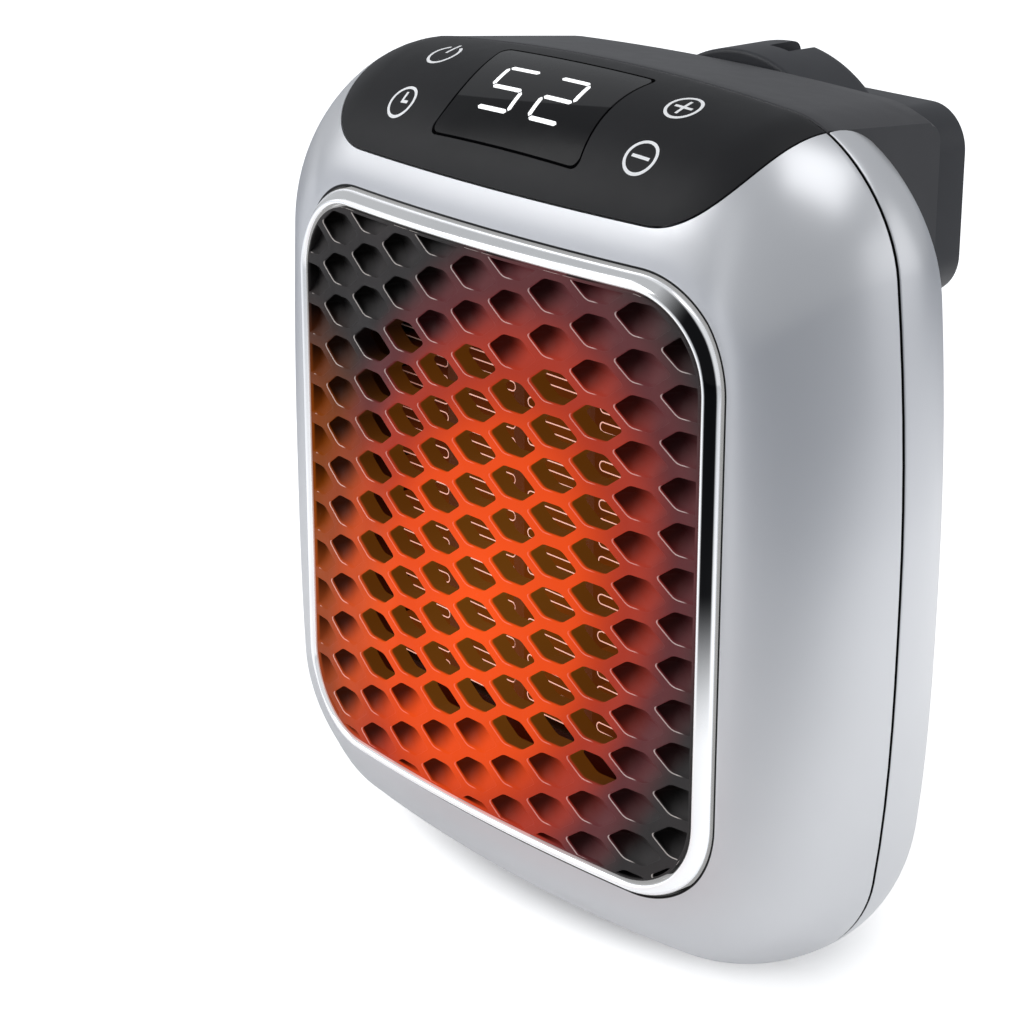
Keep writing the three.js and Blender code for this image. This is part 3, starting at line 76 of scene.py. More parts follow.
def outline(spec, corner=18, side=14):
    # a rounded rectangle whose sides and ends swell, less so towards its corners
    middle, halfHeight = (spec["top"] + spec["bottom"]) / 2, (spec["top"] - spec["bottom"]) / 2
    halfWidth, high, low = spec["halfWidth"], spec["topRadius"], spec["bottomRadius"]
    centres = [(halfWidth - high, spec["top"] - high, high), (high - halfWidth, spec["top"] - high, high),
               (low - halfWidth, spec["bottom"] + low, low), (halfWidth - low, spec["bottom"] + low, low)]
    arcs = [quarterArc(*centre, quarter, corner) for quarter, centre in enumerate(centres)]
    points = []
    for quarter, arc in enumerate(arcs):
        end, start = arc[-1], arcs[(quarter + 1) % 4][0]
        points += arc + [tuple(end[axis] + (start[axis] - end[axis]) * step / side for axis in (0, 1))
                         for step in range(1, side)]
    swelled = []
    for x, z in points:
        rise, run = (z - middle) / halfHeight, x / halfWidth
        fade = abs(rise) ** (body["lowerFade"] if rise < 0 else body["upperFade"])
        swelled.append((x + spec["side"] * run * (1 - fade), z + spec["end"] * rise * (1 - run * run)))
    return swelled


def insetSpec(spec, inset):
    radii = {key: max(spec[key] - inset, spec[key] / 4) for key in ("topRadius", "bottomRadius")}
    return {**spec, "halfWidth": spec["halfWidth"] - inset, "top": spec["top"] - inset,
            "bottom": spec["bottom"] + inset, **radii}


def mixSpec(first, second, share):
    return {key: first[key] + (second[key] - first[key]) * share for key in second}


def squareSpec(halfWidth, halfHeight, radius, centre):
    return {"halfWidth": halfWidth, "top": centre + halfHeight, "bottom": centre - halfHeight,
            "topRadius": radius, "bottomRadius": radius, "side": 0, "end": 0}


def bulgeAt(x):
    return grille["bulge"] * (1 - min(abs(x) / (grille["width"] / 2), 1) ** 2)


def quarterTurn(steps, start=0):
    # sine and cosine of each step of a quarter turn
    angles = [step / steps * math.pi / 2 for step in range(start, steps + 1)]
    return [(math.sin(angle), math.cos(angle)) for angle in angles]


def softCorner(points, at, radius, steps=6):
    # the bend that takes the place of one corner of an outline
    spot, before, after = (Vector(points[index]) for index in (at, at - 1, (at + 1) % len(points)))
    start, end = (spot + (other - spot).normalized() * radius for other in (before, after))
    return [tuple(start * (1 - t) ** 2 + spot * 2 * t * (1 - t) + end * t * t)
            for t in (step / steps for step in range(steps + 1))]


def roundedShape(width, height, radius, x=0, z=0, steps=12):
    points = []
    for quarter, (sx, sz) in enumerate(((1, 1), (-1, 1), (-1, -1), (1, -1))):
        points += quarterArc(x + sx * (width / 2 - radius), z + sz * (height / 2 - radius), radius, quarter,
                             steps)
    return points


def circle(radius, x=0, z=0, steps=48):
    return [(x + radius * math.cos(2 * math.pi * at / steps), z + radius * math.sin(2 * math.pi * at / steps))
            for at in range(steps)]


# Mesh helpers. A piece gets its name when it is placed

def solid(points, faces):
    mesh = bpy.data.meshes.new("shape")
    mesh.from_pydata([put(point) for point in points], [], faces)
    mesh.validate()
    piece = bpy.data.objects.new("shape", mesh)
    scene.collection.objects.link(piece)
    return piece


def unshift(piece):
    # brings a piece that will be copied back to the frame's own zero
    for vertex in piece.data.vertices:
        vertex.co.y -= seamPlace * mm
    return piece


def turnOut(piece):
    # faces of a closed piece point outwards when its signed volume is positive
    mesh = piece.data
    mesh.calc_loop_triangles()
    spots = mesh.vertices
    volume = sum(spots[a].co.dot(spots[b].co.cross(spots[c].co)) for a, b, c in
                 (tuple(triangle.vertices) for triangle in mesh.loop_triangles))
    if volume < 0:
        mesh.flip_normals()
    return piece


def ringAt(spec, y):
    return [(x, y, z) for x, z in outline(spec)]


def loft(rings):
    count = len(rings[0])
    points = [point for ring in rings for point in ring]
    faces = []
    for row in range(len(rings) - 1):
        for column in range(count):
            a, b = row * count + column, row * count + (column + 1) % count
            faces.append((a, b, b + count, a + count))
    for start, turn in ((0, 1), ((len(rings) - 1) * count, -1)):
        centre = len(points)
        points.append(tuple(sum(points[start + at][axis] for at in range(count)) / count for axis in range(3)))
        faces += [(centre, start + (at + 1) % count, start + at)[::turn] for at in range(count)]
    return turnOut(solid(points, faces))


def prism(shape, front, back):
    return loft([[(x, y, z) for x, z in shape] for y in (front, back)])


def block(x0, x1, y0, y1, z0, z1):
    return prism([(x0, z0), (x1, z0), (x1, z1), (x0, z1)], y0, y1)


def rodAlong(radius, front, back, x, z, steps=48):
    return prism(circle(radius, x, z, steps), front, back)


def barrel(spec, front, back):
    return loft([ringAt(spec, front), ringAt(spec, back)])


def turned(profile, z, steps):
    # a closed [radius, y] profile turned about the y direction; radius 0 points share a pole
    points, faces, rows = [], [], []
    for radius, y in profile:
        if radius == 0:
            rows.append([len(points)] * steps)
            points.append((0, y, z))
        else:
            rows.append(list(range(len(points), len(points) + steps)))
            points += [(px, y, pz) for px, pz in circle(radius, 0, z, steps)]
    for row, first in enumerate(rows):
        second = rows[(row + 1) % len(rows)]
        for at in range(steps):
            face = [first[at], first[(at + 1) % steps], second[(at + 1) % steps], second[at]]
            kept = [spot for place, spot in enumerate(face) if spot not in face[:place]]
            if len(kept) > 2:
                faces.append(kept)
    return turnOut(solid(points, faces))


def bake(piece):
    graph = bpy.context.evaluated_depsgraph_get()
    mesh = bpy.data.meshes.new_from_object(piece.evaluated_get(graph))
    piece.modifiers.clear()
    piece.data = mesh
    return piece


def combine(piece, operation, tools):
    for tool in tools:
        step = piece.modifiers.new("step", "BOOLEAN")
        step.operation, step.solver, step.object = operation, "MANIFOLD", tool
    bake(piece)
    for tool in tools:
        bpy.data.objects.remove(tool)
    return piece


def cut(piece, *tools):
    return combine(piece, "DIFFERENCE", tools)


def keep(piece, *tools):
    return combine(piece, "INTERSECT", tools)


def join(piece, *tools):
    return combine(piece, "UNION", tools)


def smooth(mesh, degrees):
    mesh.shade_smooth()
    normals = [polygon.normal.copy() for polygon in mesh.polygons]
    sides = {}
    for at, polygon in enumerate(mesh.polygons):
        for key in polygon.edge_keys:
            sides.setdefault(key, []).append(at)
    least = math.cos(math.radians(degrees))
    for edge in mesh.edges:
        pair = sides.get(edge.key, [])
        if len(pair) == 2 and normals[pair[0]].dot(normals[pair[1]]) < least:
            edge.use_edge_sharp = True


def place(piece, name, bodyName, slot, material, *replaced, degrees=30):
    piece.name = name
    smooth(piece.data, degrees)
    piece.data.materials.clear()
    piece.data.materials.append(material)
    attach(piece, bodyName)
    if replaced:
        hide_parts(*replaced)
    print(piece.name, len(piece.data.polygons), "faces")
    return piece


# Skins of the body. Each follows the part's own rule, with more steps and a softened edge at the parting.
# A skin with a reach is a tool that stands that far past the parting line.

def softSeam(inset, start=0, way=-1):
    edge = body["edge"]
    return [ringAt(insetSpec(seamSpec, inset + edge * (1 - run)), start + way * edge * (1 - rise))
            for rise, run in quarterTurn(5)]


def frontSkin(inset, reach=0):
    rings = [[(x, -(body["frontDepth"] - inset + bulgeAt(x)) * run, z)
              for x, z in outline(mixSpec(frontSpec, insetSpec(seamSpec, inset), rise))]
             for rise, run in quarterTurn(30)]
    if reach:
        rings.append(ringAt(insetSpec(seamSpec, inset), reach))
    else:
        rings = [ring for ring in rings if min(point[1] for point in ring) < -body["edge"] * 2]
        rings += softSeam(inset)
    return loft(rings)


def rearSkin(inset, reach=0):
    gap = body["gap"]
    rings = [ringAt(mixSpec(rearSpec, insetSpec(seamSpec, inset), run),
                    gap + (body["rearDepth"] - gap - inset) * rise) for rise, run in quarterTurn(26)]
    if reach:
        rings.insert(0, ringAt(insetSpec(seamSpec, inset), gap - reach))
    else:
        rings = softSeam(inset, gap, 1)[::-1] + [ring for ring in rings if ring[0][1] > gap + body["edge"] * 2]
    return loft(rings)


def coverSkin(inset, reach=0):
    gap, steps = body["gap"], 8
    seam = insetSpec(seamSpec, inset)
    rear = insetSpec({**seamSpec, "halfWidth": seamSpec["halfWidth"] - cover["narrow"],
                      "top": seamSpec["top"] + seamSpec["end"] - cover["drop"] - cover["crown"],
                      "topRadius": cover["rearRadius"], "end": cover["crown"]}, inset)
    last = cover["depth"] - cover["edge"]
    rings = [ringAt(seam, gap - reach), ringAt(seam, gap)] if reach else softSeam(inset, gap, 1)[::-1]
    for share in (step / steps for step in range(1, steps + 1)):
        rings.append(ringAt(mixSpec(seam, rear, share * last / cover["depth"]), gap + (last - gap) * share))
    rings += [ringAt(insetSpec(rear, cover["edge"] * (1 - run)), last + (cover["edge"] - inset) * rise)
              for rise, run in quarterTurn(8, 1)]
    return loft(rings)


def coverRegion(inset, front, back):
    def ring(y):
        share = y / cover["depth"]
        return ringAt({"halfWidth": panel["width"] / 2 - cover["taper"] * share - inset,
                       "top": body["height"] + body["over"],
                       "bottom": cover["bottom"] + cover["rise"] * share + inset,
                       "topRadius": 3, "bottomRadius": max(cover["radius"] - inset, cover["radius"] / 2),
                       "side": 0, "end": 0}, y)
    return loft([ring(front), ring(back)])


def grilleSpec(grow):
    return squareSpec(grille["width"] / 2 + grow, grille["height"] / 2 + grow, grille["radius"] + grow,
                      grille["centre"])


def belowStand():
    return block(-140, 140, -160, 160, -160, 0)


# Shapes on the sloped panel are drawn as [x, along] with the origin at the middle of the display

def sloped(shape, reach=9):
    cosine, sine = math.cos(panel["slope"]), math.sin(panel["slope"])
    return loft([[(x, panel["midY"] + v * cosine - w * sine, panel["midZ"] + v * sine + w * cosine)
                  for x, v in shape] for w in (-reach, reach)])


def panelRegion(grow):
    low = panel["front"] - grow
    height = body["height"] + body["over"] - low + panel["radius"]
    shape = roundedShape(panel["width"] + grow * 2, height, panel["radius"] + grow / 2, 0, low + height / 2, 24)
    return prism(shape, -34, 6 if grow > 0 else 0.01)


windowLook = {"high": 10.4, "low": -10.5, "right": {"low": 17.4, "high": 16, "bend": (14.9, 1)},
              "left": {"low": -17.35, "high": -19.6, "bend": (-15.6, -2)}, "radius": 1.6, "steps": 10}


def bend(start, control, end):
    steps = windowLook["steps"]
    return [tuple(start[axis] * (1 - t) ** 2 + 2 * control[axis] * t * (1 - t) + end[axis] * t * t
                  for axis in (0, 1)) for t in (step / steps for step in range(steps + 1))]


def windowShape(grow):
    radius, high, low = windowLook["radius"], windowLook["high"] + grow, windowLook["low"] - grow
    points = []
    for name, way in (("right", 1), ("left", -1)):
        look = windowLook[name]
        highX, lowX, waist = look["high"] + way * grow, look["low"] + way * grow, look["bend"]
        side = [(lowX - way * radius, low), (lowX, low), (lowX, low + radius),
                (waist[0] + way * grow, waist[1]), (highX, high - radius), (highX, high),
                (highX - way * radius, high)][::way]
        points += bend(*side[:3]) + bend(*side[2:5])[1:] + bend(*side[4:])[1:]
    return points


# Node helpers. A term is a value in a node tree that is reckoned with like a number

def feed(socket, term):
    source = term.socket if isinstance(term, Term) else term
    if isinstance(source, bpy.types.NodeSocket):
        socket.id_data.links.new(source, socket)
    else:
        socket.default_value = source


def addNode(tree, kind, fed=None, **settings):
    node = tree.nodes.new(kind)
    for key, value in settings.items():
        setattr(node, key, value)
    for key, term in (fed or {}).items():
        feed(node.inputs[key], term)
    return node


class Term:
    def __init__(self, socket):
        self.socket, self.tree = socket, socket.id_data

    def math(self, operation, *others):
        fed = dict(enumerate((self,) + others))
        return Term(addNode(self.tree, "ShaderNodeMath", fed, operation=operation).outputs["Value"])

    def __add__(self, other):
        return self.math("ADD", other)

    def __sub__(self, other):
        return self.math("SUBTRACT", other)

    def __rsub__(self, other):
        fed = {0: other, 1: self}
        return Term(addNode(self.tree, "ShaderNodeMath", fed, operation="SUBTRACT").outputs["Value"])

    def __mul__(self, other):
        return self.math("MULTIPLY", other)

    def __truediv__(self, other):
        return self.math("DIVIDE", other)

    def __abs__(self):
        return self.math("ABSOLUTE")


def larger(first, second):
    return first.math("MAXIMUM", second)


def smaller(first, second):
    return first.math("MINIMUM", second)


def isLess(first, second):
    return first.math("LESS_THAN", second)


def isMore(first, second):
    return first.math("GREATER_THAN", second)


def fadeUp(value, low, high):
    return Term(addNode(value.tree, "ShaderNodeMapRange", {"Value": value, "From Min": low, "From Max": high},
                        interpolation_type="SMOOTHSTEP").outputs["Result"])


def fadeDown(value, low, high):
    return 1 - fadeUp(value, low, high)


def vectorMath(tree, operation, fed, out="Vector"):
    return Term(addNode(tree, "ShaderNodeVectorMath", fed, operation=operation).outputs[out])


def splitNode(tree, vector=None):
    if vector is None:
        vector = addNode(tree, "GeometryNodeInputPosition").outputs["Position"]
    node = addNode(tree, "ShaderNodeSeparateXYZ", {"Vector": vector})
    return [Term(node.outputs[axis]) for axis in "XYZ"]


def joinNode(tree, x, y, z):
    return Term(addNode(tree, "ShaderNodeCombineXYZ", {"X": x, "Y": y, "Z": z}).outputs["Vector"])


def millimetres(tree, where):
    return splitNode(tree, vectorMath(tree, "SCALE", {0: where, "Scale": 1 / mm}))


def bulgeNode(x, halfWidth, bulge):
    share = smaller(abs(x) / halfWidth, 1)
    return (1 - share * share) * bulge


def rampOf(value, stops, interpolation="EASE"):
    node = addNode(value.tree, "ShaderNodeValToRGB", {"Fac": value})
    node.color_ramp.interpolation = interpolation
    elements = node.color_ramp.elements
    while len(elements) < len(stops):
        elements.new(0.5)
    for element, (position, colour) in zip(elements, stops):
        element.position, element.color = position, colour[:3] + (1,)
    return node.outputs["Color"]


def mixInto(factor, colour, socket):
    # lays a colour over what already feeds the socket
    fed = {"Factor": factor, 6: socket.links[0].from_socket, 7: colour}
    feed(socket, addNode(factor.tree, "ShaderNodeMix", fed, data_type="RGBA").outputs[2])


# Materials: each has its own colour drift, roughness drift and, but for the silver, fine relief, all from
# object coordinates. Glowing ones get an emission that falls off from the heater's middle and from its side;
# on the grille, the fins and their edges it is painted light from the heater.

# ovals over which the glow falls off: painted light where it lies on the grille and the fins
glowOvals = {"core": {"place": (0.0, 0, 0.0565), "turn": -62, "reach": (0.075, 10, 0.048)},
        "side": {"place": (-0.05, 0, 0.05), "turn": -84, "reach": (0.052, 10, 0.032)}}


def tone(red, green, blue):
    return tuple((value / 255 / 12.92 if value < 10.3 else ((value / 255 + 0.055) / 1.055) ** 2.4)
                 for value in (red, green, blue)) + (1,)


def reachOf(tree, where, oval):
    # 0 in the middle of an oval and 1 on its edge
    turn = (0, math.radians(oval["turn"]), 0)
    spot = addNode(tree, "ShaderNodeMapping", {"Vector": where}, vector_type="TEXTURE")
    for key, value in (("Location", oval["place"]), ("Rotation", turn), ("Scale", oval["reach"])):
        spot.inputs[key].default_value = value
    return vectorMath(tree, "LENGTH", {0: spot.outputs["Vector"]}, "Value")


def makeMaterial(name, look):
    material = bpy.data.materials.new(name)
    material.use_nodes = True
    tree = material.node_tree
    shade = tree.nodes["Principled BSDF"].inputs
    where = addNode(tree, "ShaderNodeTexCoord").outputs["Object"]

    def noise(scale, detail=3):
        fed = {"Scale": scale, "Detail": detail, "Vector": where}
        return Term(addNode(tree, "ShaderNodeTexNoise", fed).outputs["Fac"])
    drift = [(0.35, tone(*look["dark"])), (0.65, tone(*look["light"]))]
    feed(shade["Base Color"], rampOf(noise(look.get("driftScale", 60)), drift, "LINEAR"))
    low, high = look["rough"]
    gloss = {"Value": noise(look.get("roughScale", 300)), "From Min": 0.3, "From Max": 0.7, "To Min": low,
             "To Max": high}
    feed(shade["Roughness"], addNode(tree, "ShaderNodeMapRange", gloss).outputs["Result"])
    strength = look.get("relief", 0.2)
    if strength:
        relief = {"Strength": strength, "Distance": 0.00005, "Height": noise(look.get("reliefScale", 2500), 2)}
        feed(shade["Normal"], addNode(tree, "ShaderNodeBump", relief).outputs["Normal"])
    # the glow: an emission, painted light where it lies on the grille and the fins
    if "glow" in look:
        glows = [rampOf(reachOf(tree, where, glowOvals[part]), stops + [(1.0, (0.0, 0.0, 0.0))])
                 for part, stops in look["glow"].items()]
        feed(shade["Emission Color"], vectorMath(tree, "ADD", dict(enumerate(glows))))
        shade["Emission Strength"].default_value = 1.0
    for key, value in look.get("set", {}).items():
        shade[key].default_value = value
    return material, tree, shade, where


looks = {
    "silverShell": {"dark": (223, 224, 227), "light": (227, 228, 231), "driftScale": 25, "rough": (0.33, 0.34),
                    "roughScale": 40, "relief": 0, "set": {"Metallic": 0.72}},
    "charcoal": {"dark": (32, 32, 34), "light": (36, 36, 38), "rough": (0.42, 0.45), "relief": 0.03,
                 "reliefScale": 1500, "set": {"Specular IOR Level": 0.16}},
    "plugGrey": {"dark": (52, 53, 57), "light": (56, 57, 61), "rough": (0.45, 0.48), "relief": 0.03,
                 "reliefScale": 1500, "set": {"Specular IOR Level": 0.3}},
    "coverGrey": {"dark": (58, 58, 61), "light": (62, 62, 65), "rough": (0.45, 0.48), "relief": 0.03,
                  "reliefScale": 1500, "set": {"Specular IOR Level": 0.35}},
    "lens": {"dark": (16, 16, 18), "light": (20, 20, 22), "rough": (0.22, 0.26), "relief": 0.01,
             "reliefScale": 500, "set": {"Specular IOR Level": 0.14}},
    # white emission: the ring's painted shine
    "platedRing": {"dark": (236, 238, 241), "light": (246, 247, 249), "rough": (0.08, 0.12), "relief": 0.02,
                   "set": {"Metallic": 0.9, "Emission Color": (1, 1, 1, 1)}},
    "grille": {"dark": (62, 60, 60), "light": (70, 67, 67), "rough": (0.42, 0.55), "relief": 0.12,
               "set": {"Specular IOR Level": 0.06},
               "glow": {"core": [(0.0, (0.97, 0.085, 0.006)), (0.4, (0.82, 0.07, 0.007)),
                                 (0.66, (0.38, 0.03, 0.012)), (0.84, (0.09, 0.009, 0.012))],
                        "side": [(0.0, (0.26, 0.055, 0.004)), (0.5, (0.2, 0.04, 0.003))]}},
    "fins": {"dark": (64, 50, 36), "light": (84, 64, 46), "rough": (0.3, 0.45), "driftScale": 900,
             "glow": {"core": [(0.0, (0.13, 0.03, 0.002)), (0.4, (0.1, 0.022, 0.002)),
                               (0.66, (0.06, 0.01, 0.002)), (0.84, (0.02, 0.003, 0.001))],
                      "side": [(0.0, (0.08, 0.02, 0.0))]}},
    # fin strips' front edges: the pale colour and glow are a painted highlight
    "finEdges": {"dark": (226, 196, 186), "light": (240, 214, 204), "rough": (0.3, 0.4),
                 "glow": {"core": [(0.0, (0.9, 0.5, 0.42)), (0.6, (0.8, 0.42, 0.34)), (0.8, (0.3, 0.12, 0.09)),
                                   (0.92, (0.05, 0.02, 0.01))],
                          "side": [(0.0, (0.04, 0.01, 0.0))]}},
    "heatingBars": {"dark": (52, 36, 26), "light": (66, 45, 32), "rough": (0.55, 0.7), "driftScale": 400,
                    "glow": {"core": [(0.0, (0.12, 0.025, 0.002)), (0.66, (0.06, 0.012, 0.002))],
                             "side": [(0.0, (0.06, 0.015, 0.0))]}},
    "heatPlastic": {"dark": (34, 28, 24), "light": (44, 36, 30), "rough": (0.5, 0.65)},
    "contact": {"dark": (190, 150, 80), "light": (208, 170, 98), "rough": (0.24, 0.36), "set": {"Metallic": 1.0}},
    "steel": {"dark": (150, 154, 160), "light": (178, 181, 186), "rough": (0.25, 0.4), "driftScale": 180,
              "set": {"Metallic": 1.0}},
    "duct": {"dark": (62, 64, 68), "light": (72, 74, 78), "rough": (0.5, 0.6)},
    "fan": {"dark": (40, 43, 47), "light": (50, 53, 58), "rough": (0.35, 0.48)},
    "board": {"dark": (24, 78, 48), "light": (34, 96, 60), "driftScale": 500, "rough": (0.4, 0.55)},
    "blackPlastic": {"dark": (24, 25, 27), "light": (32, 33, 35), "rough": (0.38, 0.5)},
    "relay": {"dark": (36, 84, 156), "light": (46, 98, 172), "rough": (0.35, 0.45)},
    "capacitor": {"dark": (186, 152, 40), "light": (204, 170, 54), "rough": (0.35, 0.5)},
    "print": {"dark": (232, 233, 235), "light": (242, 243, 245), "rough": (0.45, 0.55),
              "set": {"Emission Color": (1, 1, 1, 1), "Emission Strength": 0.12}},
    "digits": {"dark": (240, 242, 244), "light": (250, 251, 252), "rough": (0.4, 0.5),
               "set": {"Emission Color": (1, 1, 1, 1), "Emission Strength": 0.75}},
}
made = {name: makeMaterial(name, look) for name, look in looks.items()}
paints = {name: parts[0] for name, parts in made.items()}


def cellPlace(tree, where):
    # where a point lies in its cell, in millimetres: across, up, and how deep below the bulged face, then
    # whether that cell goes through, and how far the point is from the grille's middle
    x, y, z = millimetres(tree, where)
    depth = y + (grille["reach"] - seamPlace) + bulgeNode(x, grille["width"] / 2, grille["bulge"])
    slant = (cell["length"] - cell["flat"]) / cell["height"]
    found = []
    for shift, rise in ((0, cell["row"]), (cell["pitchX"], cell["row"] + cell["pitchZ"] / 2)):
        across = (x - shift).math("WRAP", cell["pitchX"], -cell["pitchX"])
        up = (z - rise).math("WRAP", cell["pitchZ"] / 2, -cell["pitchZ"] / 2)
        tip = abs(across) + abs(up) * slant
        found.append((across, up, larger(abs(up) / (cell["height"] / 2), tip / (cell["length"] / 2))))
    first = isLess(found[0][2], found[1][2])
    across, up = (found[0][at] * first + found[1][at] * (1 - first) for at in (0, 1))
    through = isLess(abs(x - across), heaterHalf - cell["flat"] / 2) * isLess(
        abs(z - up - grille["centre"]), heaterHalf)
    return across, up, depth, through, abs(x)


# The grille has a painted glow round the heater. Through cells get painted shade inside with a painted glow
# over it, and the others get a painted shadow on the side away from the light and a painted highlight on
# their lower rim.

# the cells' painted shadow, painted shade, painted glow and painted rim highlight
cellLook = {"inside": (0.15, 0.9), "shadow": (0.15, 0.7), "away": (-3.2, 2.8), "rimPlace": (2.0, 2.7),
            "rimStart": (0.01, 0.04), "rimEnd": (0.1, 0.2), "rimLit": (0.4, 0.9), "rimLeast": 0.2, "rimMore": 0.65,
            "rimBorder": 1.4, "darkUnderCoreGlow": (0.5, 1.0), "darkUnderSideGlow": (0.5, 1.1), "dim": 0.93,
            "inner": [(0.0, (0.13, 0.042, 0.004)), (0.66, (0.085, 0.024, 0.002)), (1.0, (0.002, 0.001, 0.001))]}
grillePaint, tree, shade, where = made["grille"]
core, side = (reachOf(tree, where, oval) for oval in glowOvals.values())
across, up, depth, through, sideways = cellPlace(tree, where)
# painted shadow in the blind cells, on the side away from the light
shadow = fadeUp(depth, *cellLook["shadow"]) * fadeDown(across * 0.8 - up * 0.6, *cellLook["away"])
# painted shade deep inside the through cells, with a painted glow over it
deep = through * fadeUp(depth, *cellLook["inside"])
# painted highlight along the cells' lower rim, stronger in the painted glow and kept off the border
rimHighlight = fadeUp(across * -0.5 + up * -0.85, *cellLook["rimPlace"]) * fadeUp(depth, *cellLook["rimStart"])
rimHighlight = rimHighlight * fadeDown(depth, *cellLook["rimEnd"])
rimHighlight = rimHighlight * (fadeUp(core, *cellLook["rimLit"]) * cellLook["rimMore"] + cellLook["rimLeast"])
rimHighlight = rimHighlight * isLess(sideways, grille["width"] / 2 - cellLook["rimBorder"])
# painted glow inside the through cells
mixInto(deep, rampOf(core, cellLook["inner"]), shade["Emission Color"])
# base darkened under the painted glow, then painted shade and the painted rim highlight laid over it
for factor, colour in ((fadeDown(core, *cellLook["darkUnderCoreGlow"]), (0.012, 0.003, 0.001, 1)),
                       (fadeDown(side, *cellLook["darkUnderSideGlow"]), (0.02, 0.007, 0.001, 1)),
                       (larger(shadow, deep), tone(13, 11, 10)), (rimHighlight, tone(235, 226, 220))):
    mixInto(factor, colour, shade["Base Color"])
# the painted glow is dimmed in the blind cells' painted shadow
feed(shade["Emission Strength"], 1 - shadow * (1 - through) * cellLook["dim"])

# Painted shade: the silver turns near black inside the parting line and on the wall of the grille's
# opening, where these gaps lie in shadow

gapShadeLook = {"seam": (0.25, 0.33), "wall": (0.34, 0.44), "behindFront": 8, "colour": tone(14, 14, 15)}
silverPaint, tree, shade, where = made["silverShell"]
x, y, z = millimetres(tree, where)
sideways = abs(x) - (opening["halfWidth"] - opening["radius"])
upwards = abs(z - grille["centre"]) - (opening["halfHeight"] - opening["radius"])
past = [larger(term, 0) for term in (sideways, upwards)]
reach = (past[0] * past[0] + past[1] * past[1]).math("SQRT")
offWall = reach + smaller(larger(sideways, upwards), 0) - opening["radius"]
offSeam = abs(y - (seamPlace + body["gap"] / 2))
onFront = isLess(y, seamPlace - gapShadeLook["behindFront"])
# painted shade in the parting line and on the opening's wall
dark = larger(fadeDown(offSeam, *gapShadeLook["seam"]), onFront * fadeDown(offWall, *gapShadeLook["wall"]))
mixInto(dark, gapShadeLook["colour"], shade["Base Color"])

# Painted reflection: the lens is paler above a slightly rising line, as if it reflected a pale band

reflectionBandLook = {"height": 139.75, "slope": 0.077, "edge": 0.1, "colour": tone(52, 52, 53)}
lensPaint, tree, shade, where = made["lens"]
x, y, z = millimetres(tree, where)
reflectionBand = fadeUp(z - (x * reflectionBandLook["slope"] + reflectionBandLook["height"]), -reflectionBandLook["edge"], reflectionBandLook["edge"])
mixInto(reflectionBand, reflectionBandLook["colour"], shade["Base Color"])


# Geometry Nodes helpers

def newTree(name, inputs):
    tree = bpy.data.node_groups.new(name, "GeometryNodeTree")
    tree.interface.new_socket("Geometry", in_out="OUTPUT", socket_type="NodeSocketGeometry")
    for label, kind in {"Geometry": "Geometry", **inputs}.items():
        tree.interface.new_socket(label, in_out="INPUT", socket_type="NodeSocket" + kind)
    given = addNode(tree, "NodeGroupInput").outputs
    return tree, {label: Term(given[label]) for label in inputs}


def gridNode(tree, ask):
    spanX, spanZ = ((ask["Columns"] - 1) * ask["Pitch X"], (ask["Rows"] - 1) * ask["Pitch Z"])
    grid = addNode(tree, "GeometryNodeMeshGrid", {"Vertices X": ask["Columns"], "Vertices Y": ask["Rows"],
                                                  "Size X": spanX, "Size Y": spanZ})
    return grid.outputs["Mesh"], spanX, spanZ


def moved(tree, geometry, **fed):
    return addNode(tree, "GeometryNodeSetPosition", {"Geometry": geometry, **fed}).outputs["Geometry"]


def copiesAt(tree, points, shape, **fed):
    info = addNode(tree, "GeometryNodeObjectInfo", {"Object": shape})
    copies = addNode(tree, "GeometryNodeInstanceOnPoints",
                     {"Points": points, "Instance": info.outputs["Geometry"], **fed})
    return addNode(tree, "GeometryNodeRealizeInstances",
                   {"Geometry": copies.outputs["Instances"]}).outputs["Geometry"]


def finishTree(tree, geometry, paint):
    painted = addNode(tree, "GeometryNodeSetMaterial", {"Geometry": geometry, "Material": paint})
    addNode(tree, "NodeGroupOutput", {"Geometry": painted.outputs["Geometry"]})
    return tree


def runTree(tree, values):
    piece = solid([(0, 0, 0)], [])
    step = piece.modifiers.new(tree.name, "NODES")
    step.node_group = tree
    for item in tree.interface.items_tree:
        if item.in_out == "INPUT" and item.name in values:
            step[item.identifier] = values[item.name]
    return bake(piece)


# Camera, as solved from the photograph's outlines

cameraLook = {"place": (0.3259, -0.3066, 0.22665), "target": (0.00592, -0.0345, 0.07465), "lens": 96.8}


def aimed(name, data, spot, target):
    holder = bpy.data.objects.new(name, data)
    holder.location = spot
    holder.rotation_euler = (Vector(target) - Vector(spot)).to_track_quat("-Z", "Y").to_euler()
    scene.collection.objects.link(holder)
    return holder


lensData = bpy.data.cameras.new("camera")
lensData.lens, lensData.sensor_width = cameraLook["lens"], 36
scene.camera = aimed("camera", lensData, cameraLook["place"], cameraLook["target"])
scene.view_settings.view_transform = "Standard"

# Front shell

hole = {"left": -16.35, "right": 13.95, "half": 7.15}
frontShell = frontSkin(0)
recess = cut(panelRegion(body["gap"]), frontSkin(panel["thick"] + body["gap"], 6))
cut(frontShell, frontSkin(body["wall"], 6), barrel(squareSpec(*opening.values(), grille["centre"]), -40, 0),
    recess, sloped([(hole["left"], -hole["half"]), (hole["right"], -hole["half"]),
                    (hole["right"], hole["half"]), (hole["left"], hole["half"])]), belowStand())
place(frontShell, "frontShell", "housing", "silver", silverPaint, "front_shell")

# Control panel, lens, digits and touch symbols

